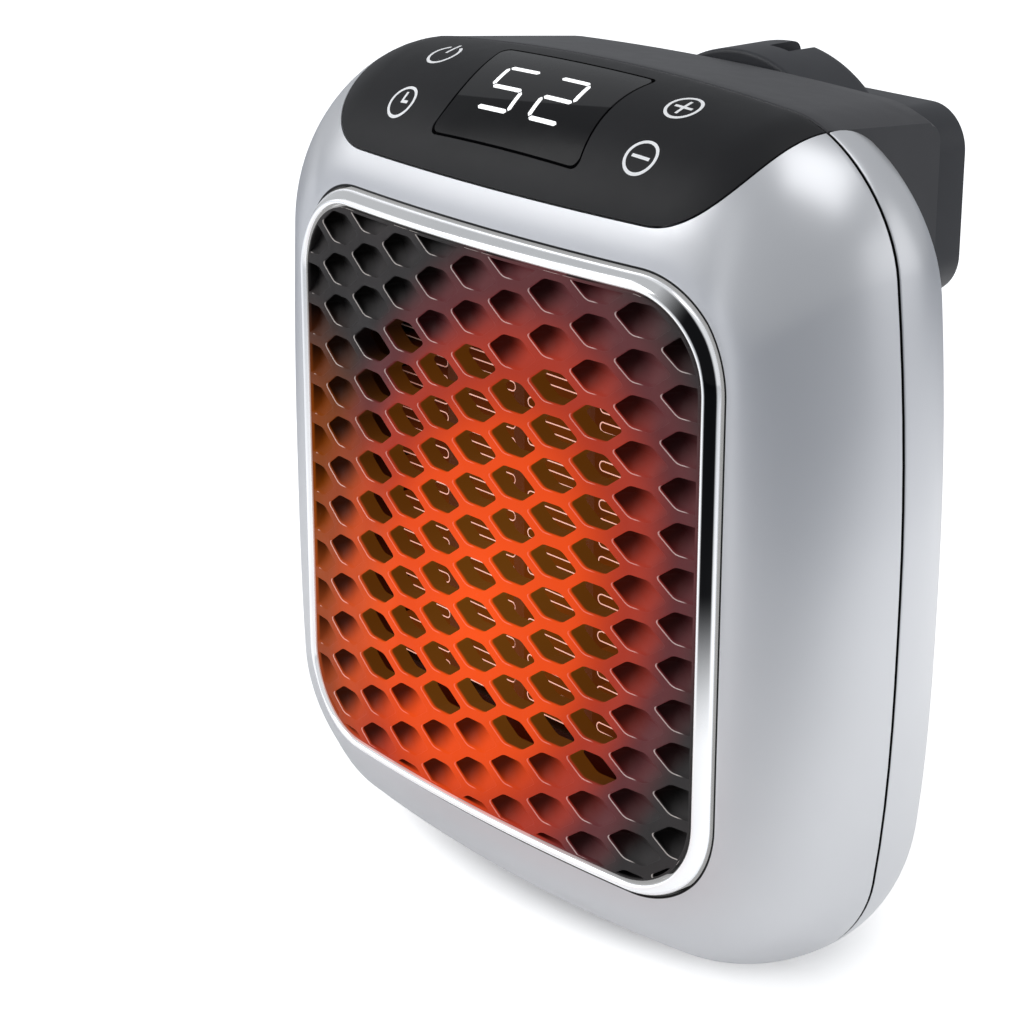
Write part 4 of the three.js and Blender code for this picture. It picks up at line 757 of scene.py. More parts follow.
panelLook = {"sunkenGrow": 0.45, "sunken": 1.0, "lens": 0.7, "printFloor": 0.15}
controlPanel = keep(frontSkin(0), panelRegion(0))
cut(controlPanel, frontSkin(panel["thick"], 6),
    cut(sloped(windowShape(panelLook["sunkenGrow"])), frontSkin(panelLook["sunken"], 6)))
place(controlPanel, "controlPanel", "housing", "charcoal", paints["charcoal"], "control_panel")

displayLens = cut(keep(frontSkin(0), sloped(windowShape(0))), frontSkin(panelLook["lens"], 6))
place(displayLens, "displayLens", "housing", "black_gloss", lensPaint, "display_window")


def printed(name, shapes, rise, material, slot):
    piece, *others = [sloped(shape) for shape in shapes]
    join(piece, *others)
    keep(piece, frontSkin(-rise))
    cut(piece, frontSkin(panelLook["printFloor"], 6))
    return place(piece, name, "housing", slot, material)


def stroke(start, end, width):
    start, end = Vector(start), Vector(end)
    run = end - start
    side = Vector((-run.y, run.x)).normalized() * width / 2
    return [tuple(start + side), tuple(start - side), tuple(end - side), tuple(end + side)]


def arcBand(x, v, radius, width, start=0, sweep=359.9, steps=64):
    turns = [math.radians(start + sweep * at / steps) for at in range(steps + 1)]
    return [(x + (radius + way * width / 2) * math.cos(turn), v + (radius + way * width / 2) * math.sin(turn))
            for way in (1, -1) for turn in turns[::way]]


digitLook = {"top": 4.85, "middle": -0.1, "bottom": -4.75, "thick": 0.85, "gap": 0.22, "lean": -0.145}
digits = {(-11.2, -3.7): ("top", "upperLeft", "middle", "lowerRight", "bottom"),
          (1.3, 8.3): ("top", "upperRight", "middle", "lowerLeft", "bottom")}


def segment(left, right, name):
    look = digitLook
    half, gap = look["thick"] / 2, look["gap"]
    if name in look:
        v, left, right = look[name], left + gap, right - gap
        points = [(left, v), (left + half, v + half), (right - half, v + half),
                  (right, v), (right - half, v - half), (left + half, v - half)]
    else:
        x = left if "Left" in name else right
        high, low = (look["top"], look["middle"]) if "upper" in name else (look["middle"], look["bottom"])
        high, low = high - gap, low + gap
        points = [(x, high), (x - half, high - half), (x - half, low + half), (x, low),
                  (x + half, low + half), (x + half, high - half)]
    return [(x + look["lean"] * v, v) for x, v in points]


printed("displayDigits", [segment(*sides, name) for sides, names in digits.items() for name in names], 0.03,
        paints["digits"], "black_gloss")

symbol = {"radius": 2.85, "line": 0.54, "openRing": (118, 304), "power": (-30.7, 5.7), "timer": (-29, -6.5),
          "plus": (27.5, 5.4), "minus": (28.5, -6.1)}
strokes = {"power": [(0, 0.4, 0, 3.6)], "timer": [(0, -0.2, 0, 1.9), (-0.2, 0, 1.5, 0)],
           "plus": [(-1.8, 0, 1.8, 0), (0, -1.8, 0, 1.8)], "minus": [(-1.8, 0, 1.8, 0)]}
marks = []
for name, lines in strokes.items():
    x, v = symbol[name]
    marks.append(arcBand(x, v, symbol["radius"], symbol["line"], *(symbol["openRing"] if name == "power" else ())))
    marks += [stroke((x + x0, v + v0), (x + x1, v + v1), symbol["line"]) for x0, v0, x1, v1 in lines]
printed("touchSymbols", marks, 0.02, paints["print"], "charcoal")
print("panel done")

# Ring round the grille, from its section swept round the grille's outline

ringSection = [(0, 4.8), (0, 1.2), (0.04, 0.6), (0.15, 0.1), (0.35, -0.3), (0.62, -0.48), (0.9, -0.5),
               (1.2, -0.36), (1.5, -0.1), (1.8, 0.25), (2.1, 0.66), (2.35, 1.06), (2.52, 1.4), (2.6, 1.75),
               (2.6, 4.8)]
# where across and round the ring its painted dark reflection lies, and the strength of its painted shine
ringLook = {"clear": 0.3, "reflectionBand": (0.34, 0.44), "reflectionBandEnd": (0.86, 0.93), "right": (0.74, 0.94),
            "up": (-0.45, 0.1), "top": (0.8, 0.97), "topShare": 0.35, "colour": tone(26, 26, 28), "shine": 0.32}


def sweptRing(section, base):
    points, faces, last = [], [], section[-1][0]
    for out, back in section:
        points += [(x, back - grille["reach"] - bulgeAt(x), z) for x, z in outline(insetSpec(base, -out), 24, 30)]
    count = len(points) // len(section)
    for row in range(len(section)):
        following = (row + 1) % len(section)
        for column in range(count):
            other = (column + 1) % count
            faces.append((row * count + column, row * count + other, following * count + other,
                          following * count + column))
    piece = turnOut(solid(points, faces))
    # how far out across the section a point lies, for the ring's painted reflection band
    across = piece.data.uv_layers.new(name="across").data
    for loop in piece.data.loops:
        across[loop.index].uv = (section[loop.vertex_index // count][0] / last, 0)
    return piece


ringBase = {**grilleSpec(ringLook["clear"]), "topRadius": grille["radius"], "bottomRadius": grille["radius"]}
plated = sweptRing(ringSection, ringBase)
# Painted reflection: a dark band across the ring on its right side and along its top, and a faint painted white
# shine on the rest
platedPaint, tree, shade, where = made["platedRing"]
x, y, z = splitNode(tree, where)
rightward = x / (grille["width"] / 2 * mm)
upward = (z - grille["centre"] * mm) / (grille["height"] / 2 * mm)
out = splitNode(tree, addNode(tree, "ShaderNodeUVMap").outputs["UV"])[0]
corner = fadeUp(rightward, *ringLook["right"]) * fadeUp(upward, *ringLook["up"])
above = fadeUp(upward, *ringLook["top"]) * ringLook["topShare"]
dim = fadeUp(out, *ringLook["reflectionBand"]) * fadeDown(out, *ringLook["reflectionBandEnd"]) * larger(corner, above)
mixInto(dim, ringLook["colour"], shade["Base Color"])
feed(shade["Emission Strength"], (1 - dim) * ringLook["shine"])
place(plated, "platedRing", "housing", "chrome", platedPaint, "grille_ring", degrees=40)


# Front grille: a bulged slab, and cells cut from it by a Geometry Nodes lattice of shaped cutters

def hexOutline(grow):
    half, flat, tip = cell["height"] / 2, cell["flat"] / 2, cell["length"] / 2
    slant = (tip - flat) / half
    high = half + grow
    wide = tip + grow * math.hypot(1, slant)
    level = wide - high * slant
    corners = [(wide, 0), (level, high), (-level, high), (-wide, 0), (-level, -high), (level, -high)]
    return [point for at in range(6) for point in softCorner(corners, at, cell["corner"], 5)]


def cellCutter(blind):
    lip, steps = cell["lip"], 11
    rings = [[(x, -3, z) for x, z in hexOutline(0)]]
    rings += [[(x, lip * (1 - run), z) for x, z in hexOutline(-lip * rise)] for rise, run in quarterTurn(5)]
    edge = hexOutline(-lip)
    if blind:
        deep = cell["deep"] - cell["floor"]
        for sink, run in quarterTurn(steps, 1)[:-1]:
            share = 1 - sink ** 1.7
            rings.append([(x * share - cell["lean"] * sink, lip + (deep - lip) * sink,
                           z * share + cell["climb"] * sink) for x, z in edge])
    else:
        rings.append([(x, cell["deep"] + 3, z) for x, z in edge])
    return unshift(loft(rings))


def latticeTree():
    # staggered columns of cells over the grille, either the through ones or the blind ones, bowed like it
    tree, ask = newTree("honeycomb", {
        "Cell": "Object", "Columns": "Int", "Rows": "Int", "Pitch X": "Float", "Pitch Z": "Float",
        "Middle Z": "Float", "Front Y": "Float", "Heater Half": "Float", "Heater Middle": "Float",
        "Flat Half": "Float", "Blind": "Float", "Bulge": "Float", "Half Width": "Float", "Paint": "Material"})
    x, y, z = splitNode(tree)
    stagger = abs((x / ask["Pitch X"]).math("ROUND")).math("MODULO", 2) * (ask["Pitch Z"] / 2)
    stand = moved(tree, gridNode(tree, ask)[0],
                  Position=joinNode(tree, x, ask["Front Y"], y + stagger + ask["Middle Z"]))
    x, y, z = splitNode(tree)
    offSide = isMore(abs(x) + ask["Flat Half"], ask["Heater Half"])
    offHigh = isMore(abs(z - ask["Heater Middle"]), ask["Heater Half"])
    wrong = abs(larger(offSide, offHigh) - ask["Blind"])
    wanted = addNode(tree, "GeometryNodeDeleteGeometry", {"Geometry": stand, "Selection": isMore(wrong, 0.5)})
    real = copiesAt(tree, wanted.outputs["Geometry"], ask["Cell"])
    x, y, z = splitNode(tree)
    lift = bulgeNode(x, ask["Half Width"], ask["Bulge"])
    return finishTree(tree, moved(tree, real, Offset=joinNode(tree, 0, 0 - lift, 0)), ask["Paint"])


lattice = latticeTree()


def cellField(blind):
    shape = cellCutter(blind)
    piece = runTree(lattice, {
        "Cell": shape, "Columns": 13, "Rows": 19, "Pitch X": cell["pitchX"] * mm, "Pitch Z": cell["pitchZ"] * mm,
        "Middle Z": cell["row"] * mm, "Front Y": (seamPlace - grille["reach"]) * mm,
        "Heater Half": heaterHalf * mm, "Heater Middle": grille["centre"] * mm,
        "Flat Half": cell["flat"] / 2 * mm, "Blind": 1.0 if blind else 0.0, "Bulge": grille["bulge"] * mm,
        "Half Width": grille["width"] / 2 * mm, "Paint": grillePaint})
    bpy.data.objects.remove(shape)
    return keep(piece, grilleBarrel(-cell["border"]))


def grilleBarrel(grow):
    return barrel(grilleSpec(grow), -60, 20)


def bulgedSlab(front, back, steps=48):
    reach = grille["width"] / 2 + 10

    def arc(offset):
        y = offset - grille["reach"]
        inner = [grille["width"] * (step / steps - 0.5) for step in range(steps + 1)]
        return [(-reach, y)] + [(x, y - bulgeAt(x)) for x in inner] + [(reach, y)]
    shape = arc(front) + arc(back)[::-1]
    return loft([[(x, y, z) for x, y in shape] for z in (grille["centre"] - 60, grille["centre"] + 60)])


skirt = {"front": 1.8, "flangeFront": 5.1, "back": 6.9, "flange": 4.2, "wall": 1.8}
honeycomb = keep(bulgedSlab(0, cell["deep"]), grilleBarrel(0))
join(honeycomb, *[cut(keep(bulgedSlab(front, skirt["back"]), grilleBarrel(grow)), grilleBarrel(-skirt["wall"]))
                  for grow, front in ((0, skirt["front"]), (skirt["flange"], skirt["flangeFront"]))])
cut(honeycomb, cellField(False), cellField(True))
place(honeycomb, "honeycombGrille", "housing", "grille_grey", grillePaint, "front_grille", degrees=35)

# Folded fins between the bars, repeated by Geometry Nodes

fold = {"pitch": 1.62, "thick": 0.2, "deep": 9, "left": -32.7, "width": 14.25, "bank": 17.45, "count": 20,
        "front": -18.4, "banks": 4, "low": 37.05, "turn": 9, "tilt": 0.012}


def foldUnit():
    # one strip: across, round a tight turn, back across and round again
    half, radius, pitch = fold["width"] / 2, fold["pitch"] / 2, fold["pitch"]
    turns = [math.pi * at / (fold["turn"] - 1) for at in range(fold["turn"])]
    path = [(-half + radius, 0)]
    path += [(half - radius + radius * math.sin(turn), radius - radius * math.cos(turn)) for turn in turns]
    path += [(-half + radius - radius * math.sin(turn), pitch + radius - radius * math.cos(turn))
             for turn in turns]
    left, right = [], []
    for at, spot in enumerate(path):
        before, after = path[max(at - 1, 0)], path[min(at + 1, len(path) - 1)]
        run = (Vector(after) - Vector(before)).normalized()
        side = Vector((-run.y, run.x)) * fold["thick"] / 2
        left.append(tuple(Vector(spot) + side))
        right.append(tuple(Vector(spot) - side))
    points, faces, count = [(x, y, z) for y in (0, fold["deep"]) for x, z in left + right], [], len(left)
    up, end = count * 2, count - 1
    for a in range(end):
        b, c, d = a + 1, count + a + 1, count + a
        faces += [(a, b, c, d), (d + up, c + up, b + up, a + up), (b, a, a + up, b + up), (d, c, c + up, d + up)]
    faces += [(0, count, count + up, up), (count + end, end, end + up, count + end + up)]
    return unshift(turnOut(solid(points, faces)))


def rowsTree():
    # copies of one piece on a grid, each turned a little by a seeded draw
    tree, ask = newTree("rows", {
        "Piece": "Object", "Columns": "Int", "Rows": "Int", "Pitch X": "Float", "Pitch Z": "Float",
        "Start": "Vector", "Tilt": "Float", "Seed": "Int", "Paint": "Material"})
    mesh, spanX, spanZ = gridNode(tree, ask)
    x, y, z = splitNode(tree)
    stand = moved(tree, mesh, Position=joinNode(tree, x + spanX / 2, 0, y + spanZ / 2), Offset=ask["Start"])
    draw = addNode(tree, "FunctionNodeRandomValue", {2: ask["Tilt"] * -1, 3: ask["Tilt"], "Seed": ask["Seed"]},
                   data_type="FLOAT")
    real = copiesAt(tree, stand, ask["Piece"], Rotation=joinNode(tree, 0, draw.outputs[1], 0))
    return finishTree(tree, real, ask["Paint"])


rows = rowsTree()


def repeated(shape, columns, count, pitchX, pitchZ, start, material, tilt, seed):
    piece = runTree(rows, {"Piece": shape, "Columns": columns, "Rows": count, "Pitch X": pitchX * mm,
                           "Pitch Z": pitchZ * mm, "Start": put(start), "Tilt": tilt, "Seed": seed,
                           "Paint": material})
    bpy.data.objects.remove(shape)
    return piece


fins = repeated(foldUnit(), fold["banks"], fold["count"], fold["bank"], fold["pitch"] * 2,
                (fold["left"] + fold["width"] / 2, fold["front"], fold["low"]), paints["fins"], fold["tilt"], 3)
place(fins, "foldedFins", "housing", "fin_metal", paints["fins"], "fin_bank_1", "fin_bank_2", "fin_bank_3",
      "fin_bank_4", degrees=40)
fins.data.materials.append(paints["finEdges"])
for polygon in fins.data.polygons:
    if polygon.normal.y < -0.9:
        polygon.material_index = 1  # the strips' front edges are bare metal; their pale paint and glow are a painted highlight

# Rear shell: dome, foot, intake slots, screw wells and the rocker's opening

rear = {"screws": [(-57.5, 101.15), (57.5, 101.15), (-30, 8), (30, 8)], "boss": 4.6, "well": 3.2, "bore": 1.7,
        "footWidth": 50, "footHeight": 15, "footRadius": 6, "footBack": 19}
slots = {"low": 41.65, "pitch": 7, "rows": 6, "height": 3.4, "circle": 34, "rib": 3}
coverScrews = {"x": 33, "z": 76.65, "bore": 1.6}
rocker = {"middle": 27.65, "axis": 23.2, "half": 7.7, "high": 4.7, "tilt": math.radians(10), "holeX": 9.8,
          "holeZ": 6.6}


def slotCutters():
    tools = []
    for row in range(slots["rows"]):
        rise = (row - (slots["rows"] - 1) / 2) * slots["pitch"]
        half = math.sqrt(slots["circle"] ** 2 - rise ** 2)
        for side in (-1, 1):
            shape = roundedShape(half - slots["rib"] / 2, slots["height"], slots["height"] / 2 - 0.001,
                                 side * (half + slots["rib"] / 2) / 2, slots["low"] + row * slots["pitch"], 10)
            tools.append(prism(shape, 12, 32))
    return tools


rearShell = cut(rearSkin(0), rearSkin(body["wall"], 6))
join(rearShell, cut(prism(roundedShape(rear["footWidth"], rear["footHeight"], rear["footRadius"], 0,
                                       rear["footHeight"] / 2), body["gap"], rear["footBack"]),
                    rearSkin(body["wall"], 6)))
join(rearShell, *[keep(rodAlong(rear["boss"], 1, 24, x, z), rearSkin(0)) for x, z in rear["screws"]])
cut(rearShell, *[rodAlong(rear["well"], 9, 30, x, z) for x, z in rear["screws"]],
    *[rodAlong(rear["bore"], -6, 24, x, z) for x, z in rear["screws"]], *slotCutters(),
    *[rodAlong(coverScrews["bore"], 14, 30, x, coverScrews["z"]) for x in (-coverScrews["x"], coverScrews["x"])],
    block(-rocker["holeX"], rocker["holeX"], 14, 30, rocker["middle"] - rocker["holeZ"],
          rocker["middle"] + rocker["holeZ"]), coverRegion(-0.3, -6, 36), belowStand())
place(rearShell, "rearShell", "housing", "silver", silverPaint, "rear_shell")

# Rear top cover

rearCover = keep(coverSkin(0), coverRegion(0, 0, 36))
cut(rearCover, keep(coverSkin(cover["wall"], 6), coverRegion(cover["wall"], -6, 36)),
    rodAlong(swivel["collar"], 0, 36, 0, swivel["height"], 96))
place(rearCover, "rearCover", "housing", "charcoal", paints["coverGrey"], "rear_top_cover")
print("shells done")

# Turret, turned from its profile, with the notch in its rim

neck = {"bore": 10.5, "radius": 14, "start": 19.5, "well": 22.5, "floor": 42.2, "front": 30.3, "belt": 36,
        "frontEdge": 0.8, "backEdge": 2.4, "middle": 0.5}
notch = {"over": 6, "deep": 2.6, "wide": 5.5, "front": 37.2, "back": 48}
outside, turretBack = swivel["radius"], neck["front"] + swivel["length"]
profile = [(neck["bore"], neck["start"]), (neck["radius"], neck["start"]), (neck["radius"], neck["floor"]),
           (neck["well"], neck["floor"]), (neck["well"], neck["front"])]
profile += softCorner([(neck["well"], neck["front"]), (outside, neck["front"]), (outside, neck["belt"])], 1,
                      neck["frontEdge"])
profile += softCorner([(outside, neck["belt"]), (outside, turretBack), (neck["middle"], turretBack)], 1,
                      neck["backEdge"], 10)
profile += [(0, turretBack), (0, neck["floor"]), (neck["bore"], neck["floor"])]
top = swivel["height"] + swivel["radius"]
turret = cut(turned(profile, swivel["height"], 128),
             prism([(0, top + notch["over"]), (0, top - notch["deep"]), (notch["wide"], top),
                    (notch["wide"], top + notch["over"])], notch["front"], notch["back"]))
place(turret, "plugTurret", "plug", "charcoal", paints["plugGrey"], "swivel_turret")

# Plug head, its face and its blades

plug = {"width": 50.6, "height": 34, "front": 45.3, "back": 60, "radius": 8, "edge": 1.1, "wall": 2.6,
        "rebate": (1.6, 57.3), "past": 66, "blades": 6.35, "bladeX": 1.05, "bladeZ": 3.475, "screws": 17}
plugEnd = [(0.25, 0.5), (0.35, 0.15), (0.6, 0)]  # inset, and how far before the back
faceRings = [(1.9, 57.6), (1.9, 59.7), (2.0, 59.9), (2.2, 60)]  # inset, and y
bladeLook = {"half": 3.175, "tip": 1.6, "start": 49.1, "end": 76.5,
             "rings": [(-0.75, 0.22), (-0.62, 0.06), (-0.5, 0), (0.5, 0), (0.62, 0.06), (0.75, 0.22)]}


def plugRing(inset, y):
    return ringAt(squareSpec(plug["width"] / 2 - inset, plug["height"] / 2 - inset, plug["radius"] - inset,
                             swivel["height"]), y)


rings = [plugRing(plug["edge"] * (1 - rise), plug["front"] + plug["edge"] * (1 - run))
         for rise, run in quarterTurn(6)]
rings += [plugRing(inset, plug["back"] - before) for inset, before in plugEnd]
plugHead = cut(loft(rings), *[loft([plugRing(inset, y), plugRing(inset, plug["past"])]) for inset, y in
                              ((plug["wall"], plug["front"] + plug["wall"]), plug["rebate"])])
place(plugHead, "plugHead", "plug", "charcoal", paints["plugGrey"], "plug_head")

face = loft([plugRing(inset, y) for inset, y in faceRings])
level = swivel["height"]
cut(face, *[block(x - plug["bladeX"], x + plug["bladeX"], 50, plug["past"], level - plug["bladeZ"],
                  level + plug["bladeZ"]) for x in (-plug["blades"], plug["blades"])],
    *[rodAlong(radius, front, plug["past"], x, level) for radius, front in ((2.8, 58.3), (1.6, 50))
      for x in (-plug["screws"], plug["screws"])])
place(face, "plugFace", "plug", "charcoal", paints["plugGrey"], "plug_face")


def plugBlade(middle):
    half, tip, start, end = (bladeLook[key] for key in ("half", "tip", "start", "end"))
    lower = [(start, -half), (end - tip * 1.4, -half), (end - tip * 0.4, -half + tip * 0.5),
             (end, -half + tip * 1.4)]
    shape = lower + [(y, -z) for y, z in reversed(lower)]
    blade = loft([[(x, min(y, end - inset) if y > start else y,
                    level + max(min(z, half - inset), inset - half)) for y, z in shape]
                  for x, inset in bladeLook["rings"]])
    for vertex in blade.data.vertices:
        vertex.co.x += middle * mm
    return blade


blades = join(plugBlade(-plug["blades"]), plugBlade(plug["blades"]))
place(blades, "plugBlades", "plug", "contact_metal", paints["contact"], "plug_blade_1", "plug_blade_2")


# Screws, each a pan head with a cross recess, repeated by Geometry Nodes

def crossScrew(head, cap, shank, length):
    # points along the y direction with its head's top at y 0
    profile = [(0, -length), (shank * 0.5, -length), (shank, -length + shank), (shank, -cap), (head, -cap),
               (head, -cap * 0.55), (head * 0.9, -cap * 0.22), (head * 0.66, -cap * 0.05), (head * 0.3, 0),
               (0, 0)]
    arm, thin, low = head * 0.62, head * 0.13, -cap * 0.75
    return unshift(cut(turned(profile, 0, 40), block(-arm, arm, low, 2, -thin, thin),
                       block(-thin, thin, low, 2, -arm, arm)))


screwSets = {
    "shellScrewsHigh": ("housing", rear["screws"][:2], 11.3, (2.7, 2, 1.4, 18.3), "shell_screw_1", "shell_screw_2"),
    "shellScrewsLow": ("housing", rear["screws"][2:], 11.3, (2.7, 2, 1.4, 18.3), "shell_screw_3", "shell_screw_4"),
    "coverScrews": ("housing", [(-coverScrews["x"], coverScrews["z"]), (coverScrews["x"], coverScrews["z"])],
                    25.6, (2.6, 1.3, 1.3, 7.7), "cover_screw_1", "cover_screw_2"),
    "plugScrews": ("plug", [(-plug["screws"], level), (plug["screws"], level)], plug["back"],
                   (2.5, 1.4, 1.3, 11.8), "plug_screw_1", "plug_screw_2"),
}
for name, (bodyName, (left, right), back, sizes, *replaced) in screwSets.items():
    pair = repeated(crossScrew(*sizes), 2, 1, right[0] - left[0], 0, (left[0], back, left[1]), paints["steel"],
                    0.7, 11)
    place(pair, name, bodyName, "steel", paints["steel"], *replaced)
print("plug and screws done")

# Rocker and its bezel

bezel = {"width": 21.8, "height": 15.4, "radius": 1.6, "bodyX": 9.5, "bodyZ": 6.3, "bodyFront": 12.3,
         "wellX": 8.7, "wellZ": 5, "wellFloor": 18.5,
         "rings": [(0, 24.3), (0, 25.2), (0.1, 25.5), (0.35, 25.66), (0.6, 25.7)]}
bezelShape = roundedShape(bezel["width"], bezel["height"], bezel["radius"], 0, rocker["middle"])
switch = loft([[(x * (1 - inset / (bezel["width"] / 2)), y,
                 rocker["middle"] + (z - rocker["middle"]) * (1 - inset / (bezel["height"] / 2)))
                for x, z in bezelShape] for inset, y in bezel["rings"]])
join(switch, block(-bezel["bodyX"], bezel["bodyX"], bezel["bodyFront"], 24.6, rocker["middle"] - bezel["bodyZ"],
                   rocker["middle"] + bezel["bodyZ"]))
cut(switch, block(-bezel["wellX"], bezel["wellX"], bezel["wellFloor"], 30, rocker["middle"] - bezel["wellZ"],
                  rocker["middle"] + bezel["wellZ"]))
place(switch, "switchBezel", "housing", "black_plastic", paints["blackPlastic"], "switch_body")

capLook = {"edge": 0.3, "top": 4.4, "dip": 1.1, "footX": 5.5, "footY": -2.2, "pin": 1, "pinHalf": 5.5}


def rockerPoint(x, y, z):
    turn = rocker["tilt"]
    return (x * math.cos(turn) - y * math.sin(turn), rocker["axis"] + x * math.sin(turn) + y * math.cos(turn),
            rocker["middle"] + z)


def rockerSolid(shape, low, high, edge):
    rings = []
    for z, inset in ((low, edge), (low + edge * 0.3, edge * 0.3), (low + edge, 0), (high - edge, 0),
                     (high - edge * 0.3, edge * 0.3), (high, edge)):
        rings.append([rockerPoint(x - math.copysign(min(inset, abs(x)), x), y - inset if y > 1 else y, z)
                      for x, y in shape])
    return loft(rings)


half, footX, footY = rocker["half"], capLook["footX"], capLook["footY"]
shares = [1 - step / 12 for step in range(25)]
dished = [(half * share, capLook["top"] - capLook["dip"] * (1 - abs(share) ** 1.5)) for share in shares]
cap = rockerSolid([(footX, footY), (half, 0)] + dished + [(-half, 0), (-footX, footY)], -rocker["high"],
                  rocker["high"], capLook["edge"])
join(cap, loft([[rockerPoint(x, y, z) for x, y in circle(capLook["pin"], 0, 0, 32)]
                for z in (-capLook["pinHalf"], capLook["pinHalf"])]))
place(cap, "rockerCap", "rocker", "black_plastic", paints["blackPlastic"], "power_rocker")

# Fan rotor with twisted blades of even thickness

fan = {"front": -4.4, "length": 9.5, "hub": 12, "tip": 32.6, "blades": 7, "thick": 1.1, "root": 0.9,
       "chord": (11, 6), "pitch": (46, 22), "camber": 1.2, "stations": 10, "face": 8, "edge": 1.6, "inside": 10.2,
       "wall": 1.8, "boss": 3.2, "bore": 1.8, "boreWall": 0.9}


def fanBlade(index):
    rings, turn = [], 2 * math.pi * index / fan["blades"]
    for station in range(fan["stations"] + 1):
        share = station / fan["stations"]
        radius = fan["hub"] - fan["root"] + (fan["tip"] - fan["hub"] + fan["root"]) * share
        chord = fan["chord"][0] + fan["chord"][1] * share
        pitch = math.radians(fan["pitch"][0] - fan["pitch"][1] * share)
        half = min(chord / 2, (fan["length"] / 2 - 0.65) / math.sin(pitch))
        section = []
        for side in (1, -1):
            for along in ((1 - step / 4) * side for step in range(9)):
                across = fan["thick"] / 2 * side * math.sqrt(max(1 - along * along, 0)) ** 0.7
                spot = (half * along, across + fan["camber"] * (1 - along * along))
                if spot not in section:
                    section.append(spot)
        ring = []
        for along, across in section:
            x = along * math.cos(pitch) - across * math.sin(pitch)
            y = fan["front"] + fan["length"] / 2 + along * math.sin(pitch) + across * math.cos(pitch)
            y = min(max(y, fan["front"] + 0.02), fan["front"] + fan["length"] - 0.02)
            ring.append((x * math.cos(turn) + radius * math.sin(turn), y,
                         grille["centre"] - x * math.sin(turn) + radius * math.cos(turn)))
        rings.append(ring)
    return loft(rings)


hubFront, hubBack, hubEdge = fan["front"], fan["front"] + fan["length"], fan["hub"]
profile = [(0, hubFront), (fan["face"], hubFront)]
profile += softCorner([(fan["face"], hubFront), (hubEdge, hubFront), (hubEdge, hubBack)], 1, fan["edge"])
profile += [(hubEdge, hubBack), (fan["inside"], hubBack), (fan["inside"], hubFront + fan["wall"]),
            (fan["boss"], hubFront + fan["wall"]), (fan["boss"], hubBack - fan["wall"]),
            (fan["bore"], hubBack - fan["wall"]), (fan["bore"], hubFront + fan["boreWall"]),
            (0, hubFront + fan["boreWall"])]
rotor = join(turned(profile, grille["centre"], 72), *[fanBlade(index) for index in range(fan["blades"])])
place(rotor, "fanRotor", "fan", "fan_plastic", paints["fan"], "fan_rotor")

# CAD nodes that keep their shape get their material here

kept = {
    "heatPlastic": ["heater_frame"], "heatingBars": ["heating_bar_1", "heating_bar_2", "heating_bar_3"],
    "contact": ["heater_terminal_1", "heater_terminal_2", "contact_ring_inner", "contact_ring_outer",
                "contact_brush_inner", "contact_brush_outer"],
    "steel": ["thermal_cutout", "motor_body", "motor_shaft", "touch_spring_power", "touch_spring_timer",
              "touch_spring_plus", "touch_spring_minus", "board_screw_1", "board_screw_2", "swivel_retainer",
              "friction_washer"],
    "duct": ["fan_duct"], "board": ["control_board", "power_board", "contact_board"],
    "blackPlastic": ["display_module", "control_chip", "smoothing_capacitor"],
    "relay": ["power_relay"], "capacitor": ["film_capacitor"],
}
for paint, names in kept.items():
    for name in names:
        nodes[name].data.materials.clear()
        nodes[name].data.materials.append(paints[paint])
print("inside done")

# Floor. The camera sees it white, grey only close under the heater, where less painted lift leaves the lamps'
# shadow as a partly painted shadow, and the gloss of the pieces sees two bright patches in it

floorLook = {"half": 3, "low": -0.0001, "rough": 0.9, "away": (0.12, 0.42), "near": (0.62, 0.98),
             "tones": [(0.0, (0.9, 0.9, 0.9)), (1.0, (0.36, 0.38, 0.42))], "least": 0.15, "nearLift": 0.48,
             "awayLift": 0.37, "underside": {"place": (0, 0, 0), "turn": 0, "reach": (0.062, 0.035, 1)},
             "patches": [((0.19, 0.25, 0), 0.12, 0.42, 0.6), ((-0.3, -0.3, 0), 0.1, 0.42, 0.3)]}
floorMesh = bpy.data.meshes.new("floor")
floorMesh.from_pydata([(x * floorLook["half"], y * floorLook["half"], floorLook["low"])
                       for x, y in ((-1, -1), (1, -1), (1, 1), (-1, 1))], [], [(0, 1, 2, 3)])
floor = bpy.data.objects.new("floor", floorMesh)
scene.collection.objects.link(floor)
floorPaint = bpy.data.materials.new("floorPaint")
floorPaint.use_nodes = True
tree = floorPaint.node_tree
shade = tree.nodes["Principled BSDF"].inputs
where = addNode(tree, "ShaderNodeTexCoord").outputs["Object"]
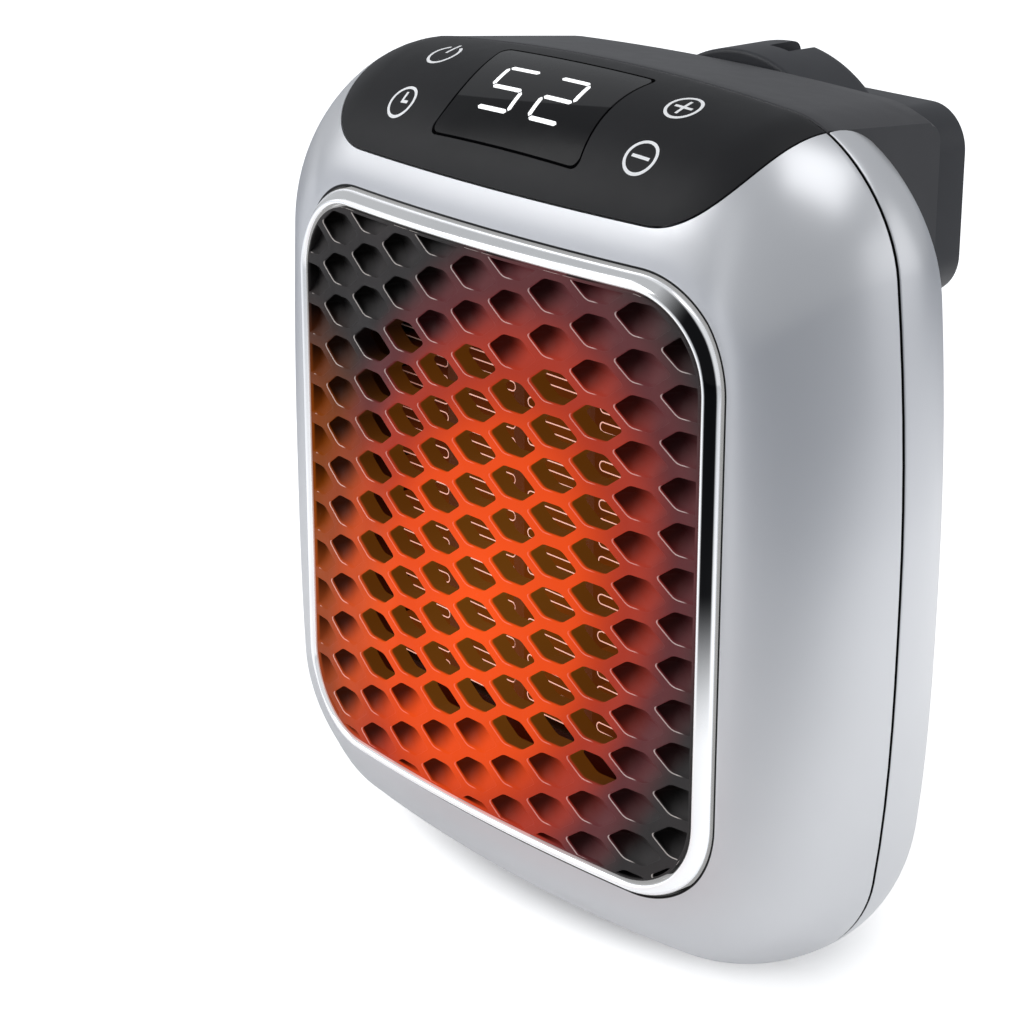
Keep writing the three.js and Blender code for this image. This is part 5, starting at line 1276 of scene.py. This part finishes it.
seen, mirrored = (Term(addNode(tree, "ShaderNodeLightPath").outputs[kind])
                  for kind in ("Is Camera Ray", "Is Glossy Ray"))
away = fadeUp(vectorMath(tree, "LENGTH", {0: where}, "Value"), *floorLook["away"])
# painted shadow: the camera's lift is held back close under the heater
near = fadeUp(reachOf(tree, where, floorLook["underside"]), *floorLook["near"])
lift = near * floorLook["nearLift"] + floorLook["least"] + away * floorLook["awayLift"]
patches = [fadeDown(vectorMath(tree, "DISTANCE", {0: where, 1: middle}, "Value"), full, none) * strength
           for middle, full, none, strength in floorLook["patches"]]
shade["Roughness"].default_value = floorLook["rough"]
shade["Emission Color"].default_value = (1, 1, 1, 1)
feed(shade["Base Color"], rampOf(away, floorLook["tones"]))
feed(shade["Emission Strength"], seen * lift + mirrored * larger(*patches))
floorMesh.materials.append(floorPaint)

# Lamps, all aimed at the heater's middle, and the world, which the camera sees white

lamps = {"key": {"place": (-0.6, -0.7, 0.75), "size": 0.7, "power": 3.5},
         "front": {"place": (-0.85, -0.8, 0.22), "size": 1.0, "power": 2.9},
         "right": {"place": (0.72, 0.8, 0.22), "size": 0.9, "power": 1.6},
         "top": {"place": (0.24, 0.25, 0.95), "size": 0.6, "power": 1.5}}
skyLook = {"colour": (0.93, 0.96, 1.0, 1), "strength": 0.46}
for name, lamp in lamps.items():
    light = bpy.data.lights.new(name, "AREA")
    light.shape, light.size, light.energy = "SQUARE", lamp["size"], lamp["power"]
    aimed(name, light, lamp["place"], (0, 0, 0.08))

world = bpy.data.worlds.new("world")
scene.world = world
world.use_nodes = True
tree = world.node_tree
sky = tree.nodes["Background"]
sky.inputs["Color"].default_value = skyLook["colour"]
sky.inputs["Strength"].default_value = skyLook["strength"]
white = addNode(tree, "ShaderNodeBackground", {"Color": (1, 1, 1, 1), "Strength": 1.0})
either = addNode(tree, "ShaderNodeMixShader", {
    "Fac": addNode(tree, "ShaderNodeLightPath").outputs["Is Camera Ray"], 1: sky.outputs["Background"],
    2: white.outputs["Background"]})
feed(tree.nodes["World Output"].inputs["Surface"], either.outputs["Shader"])
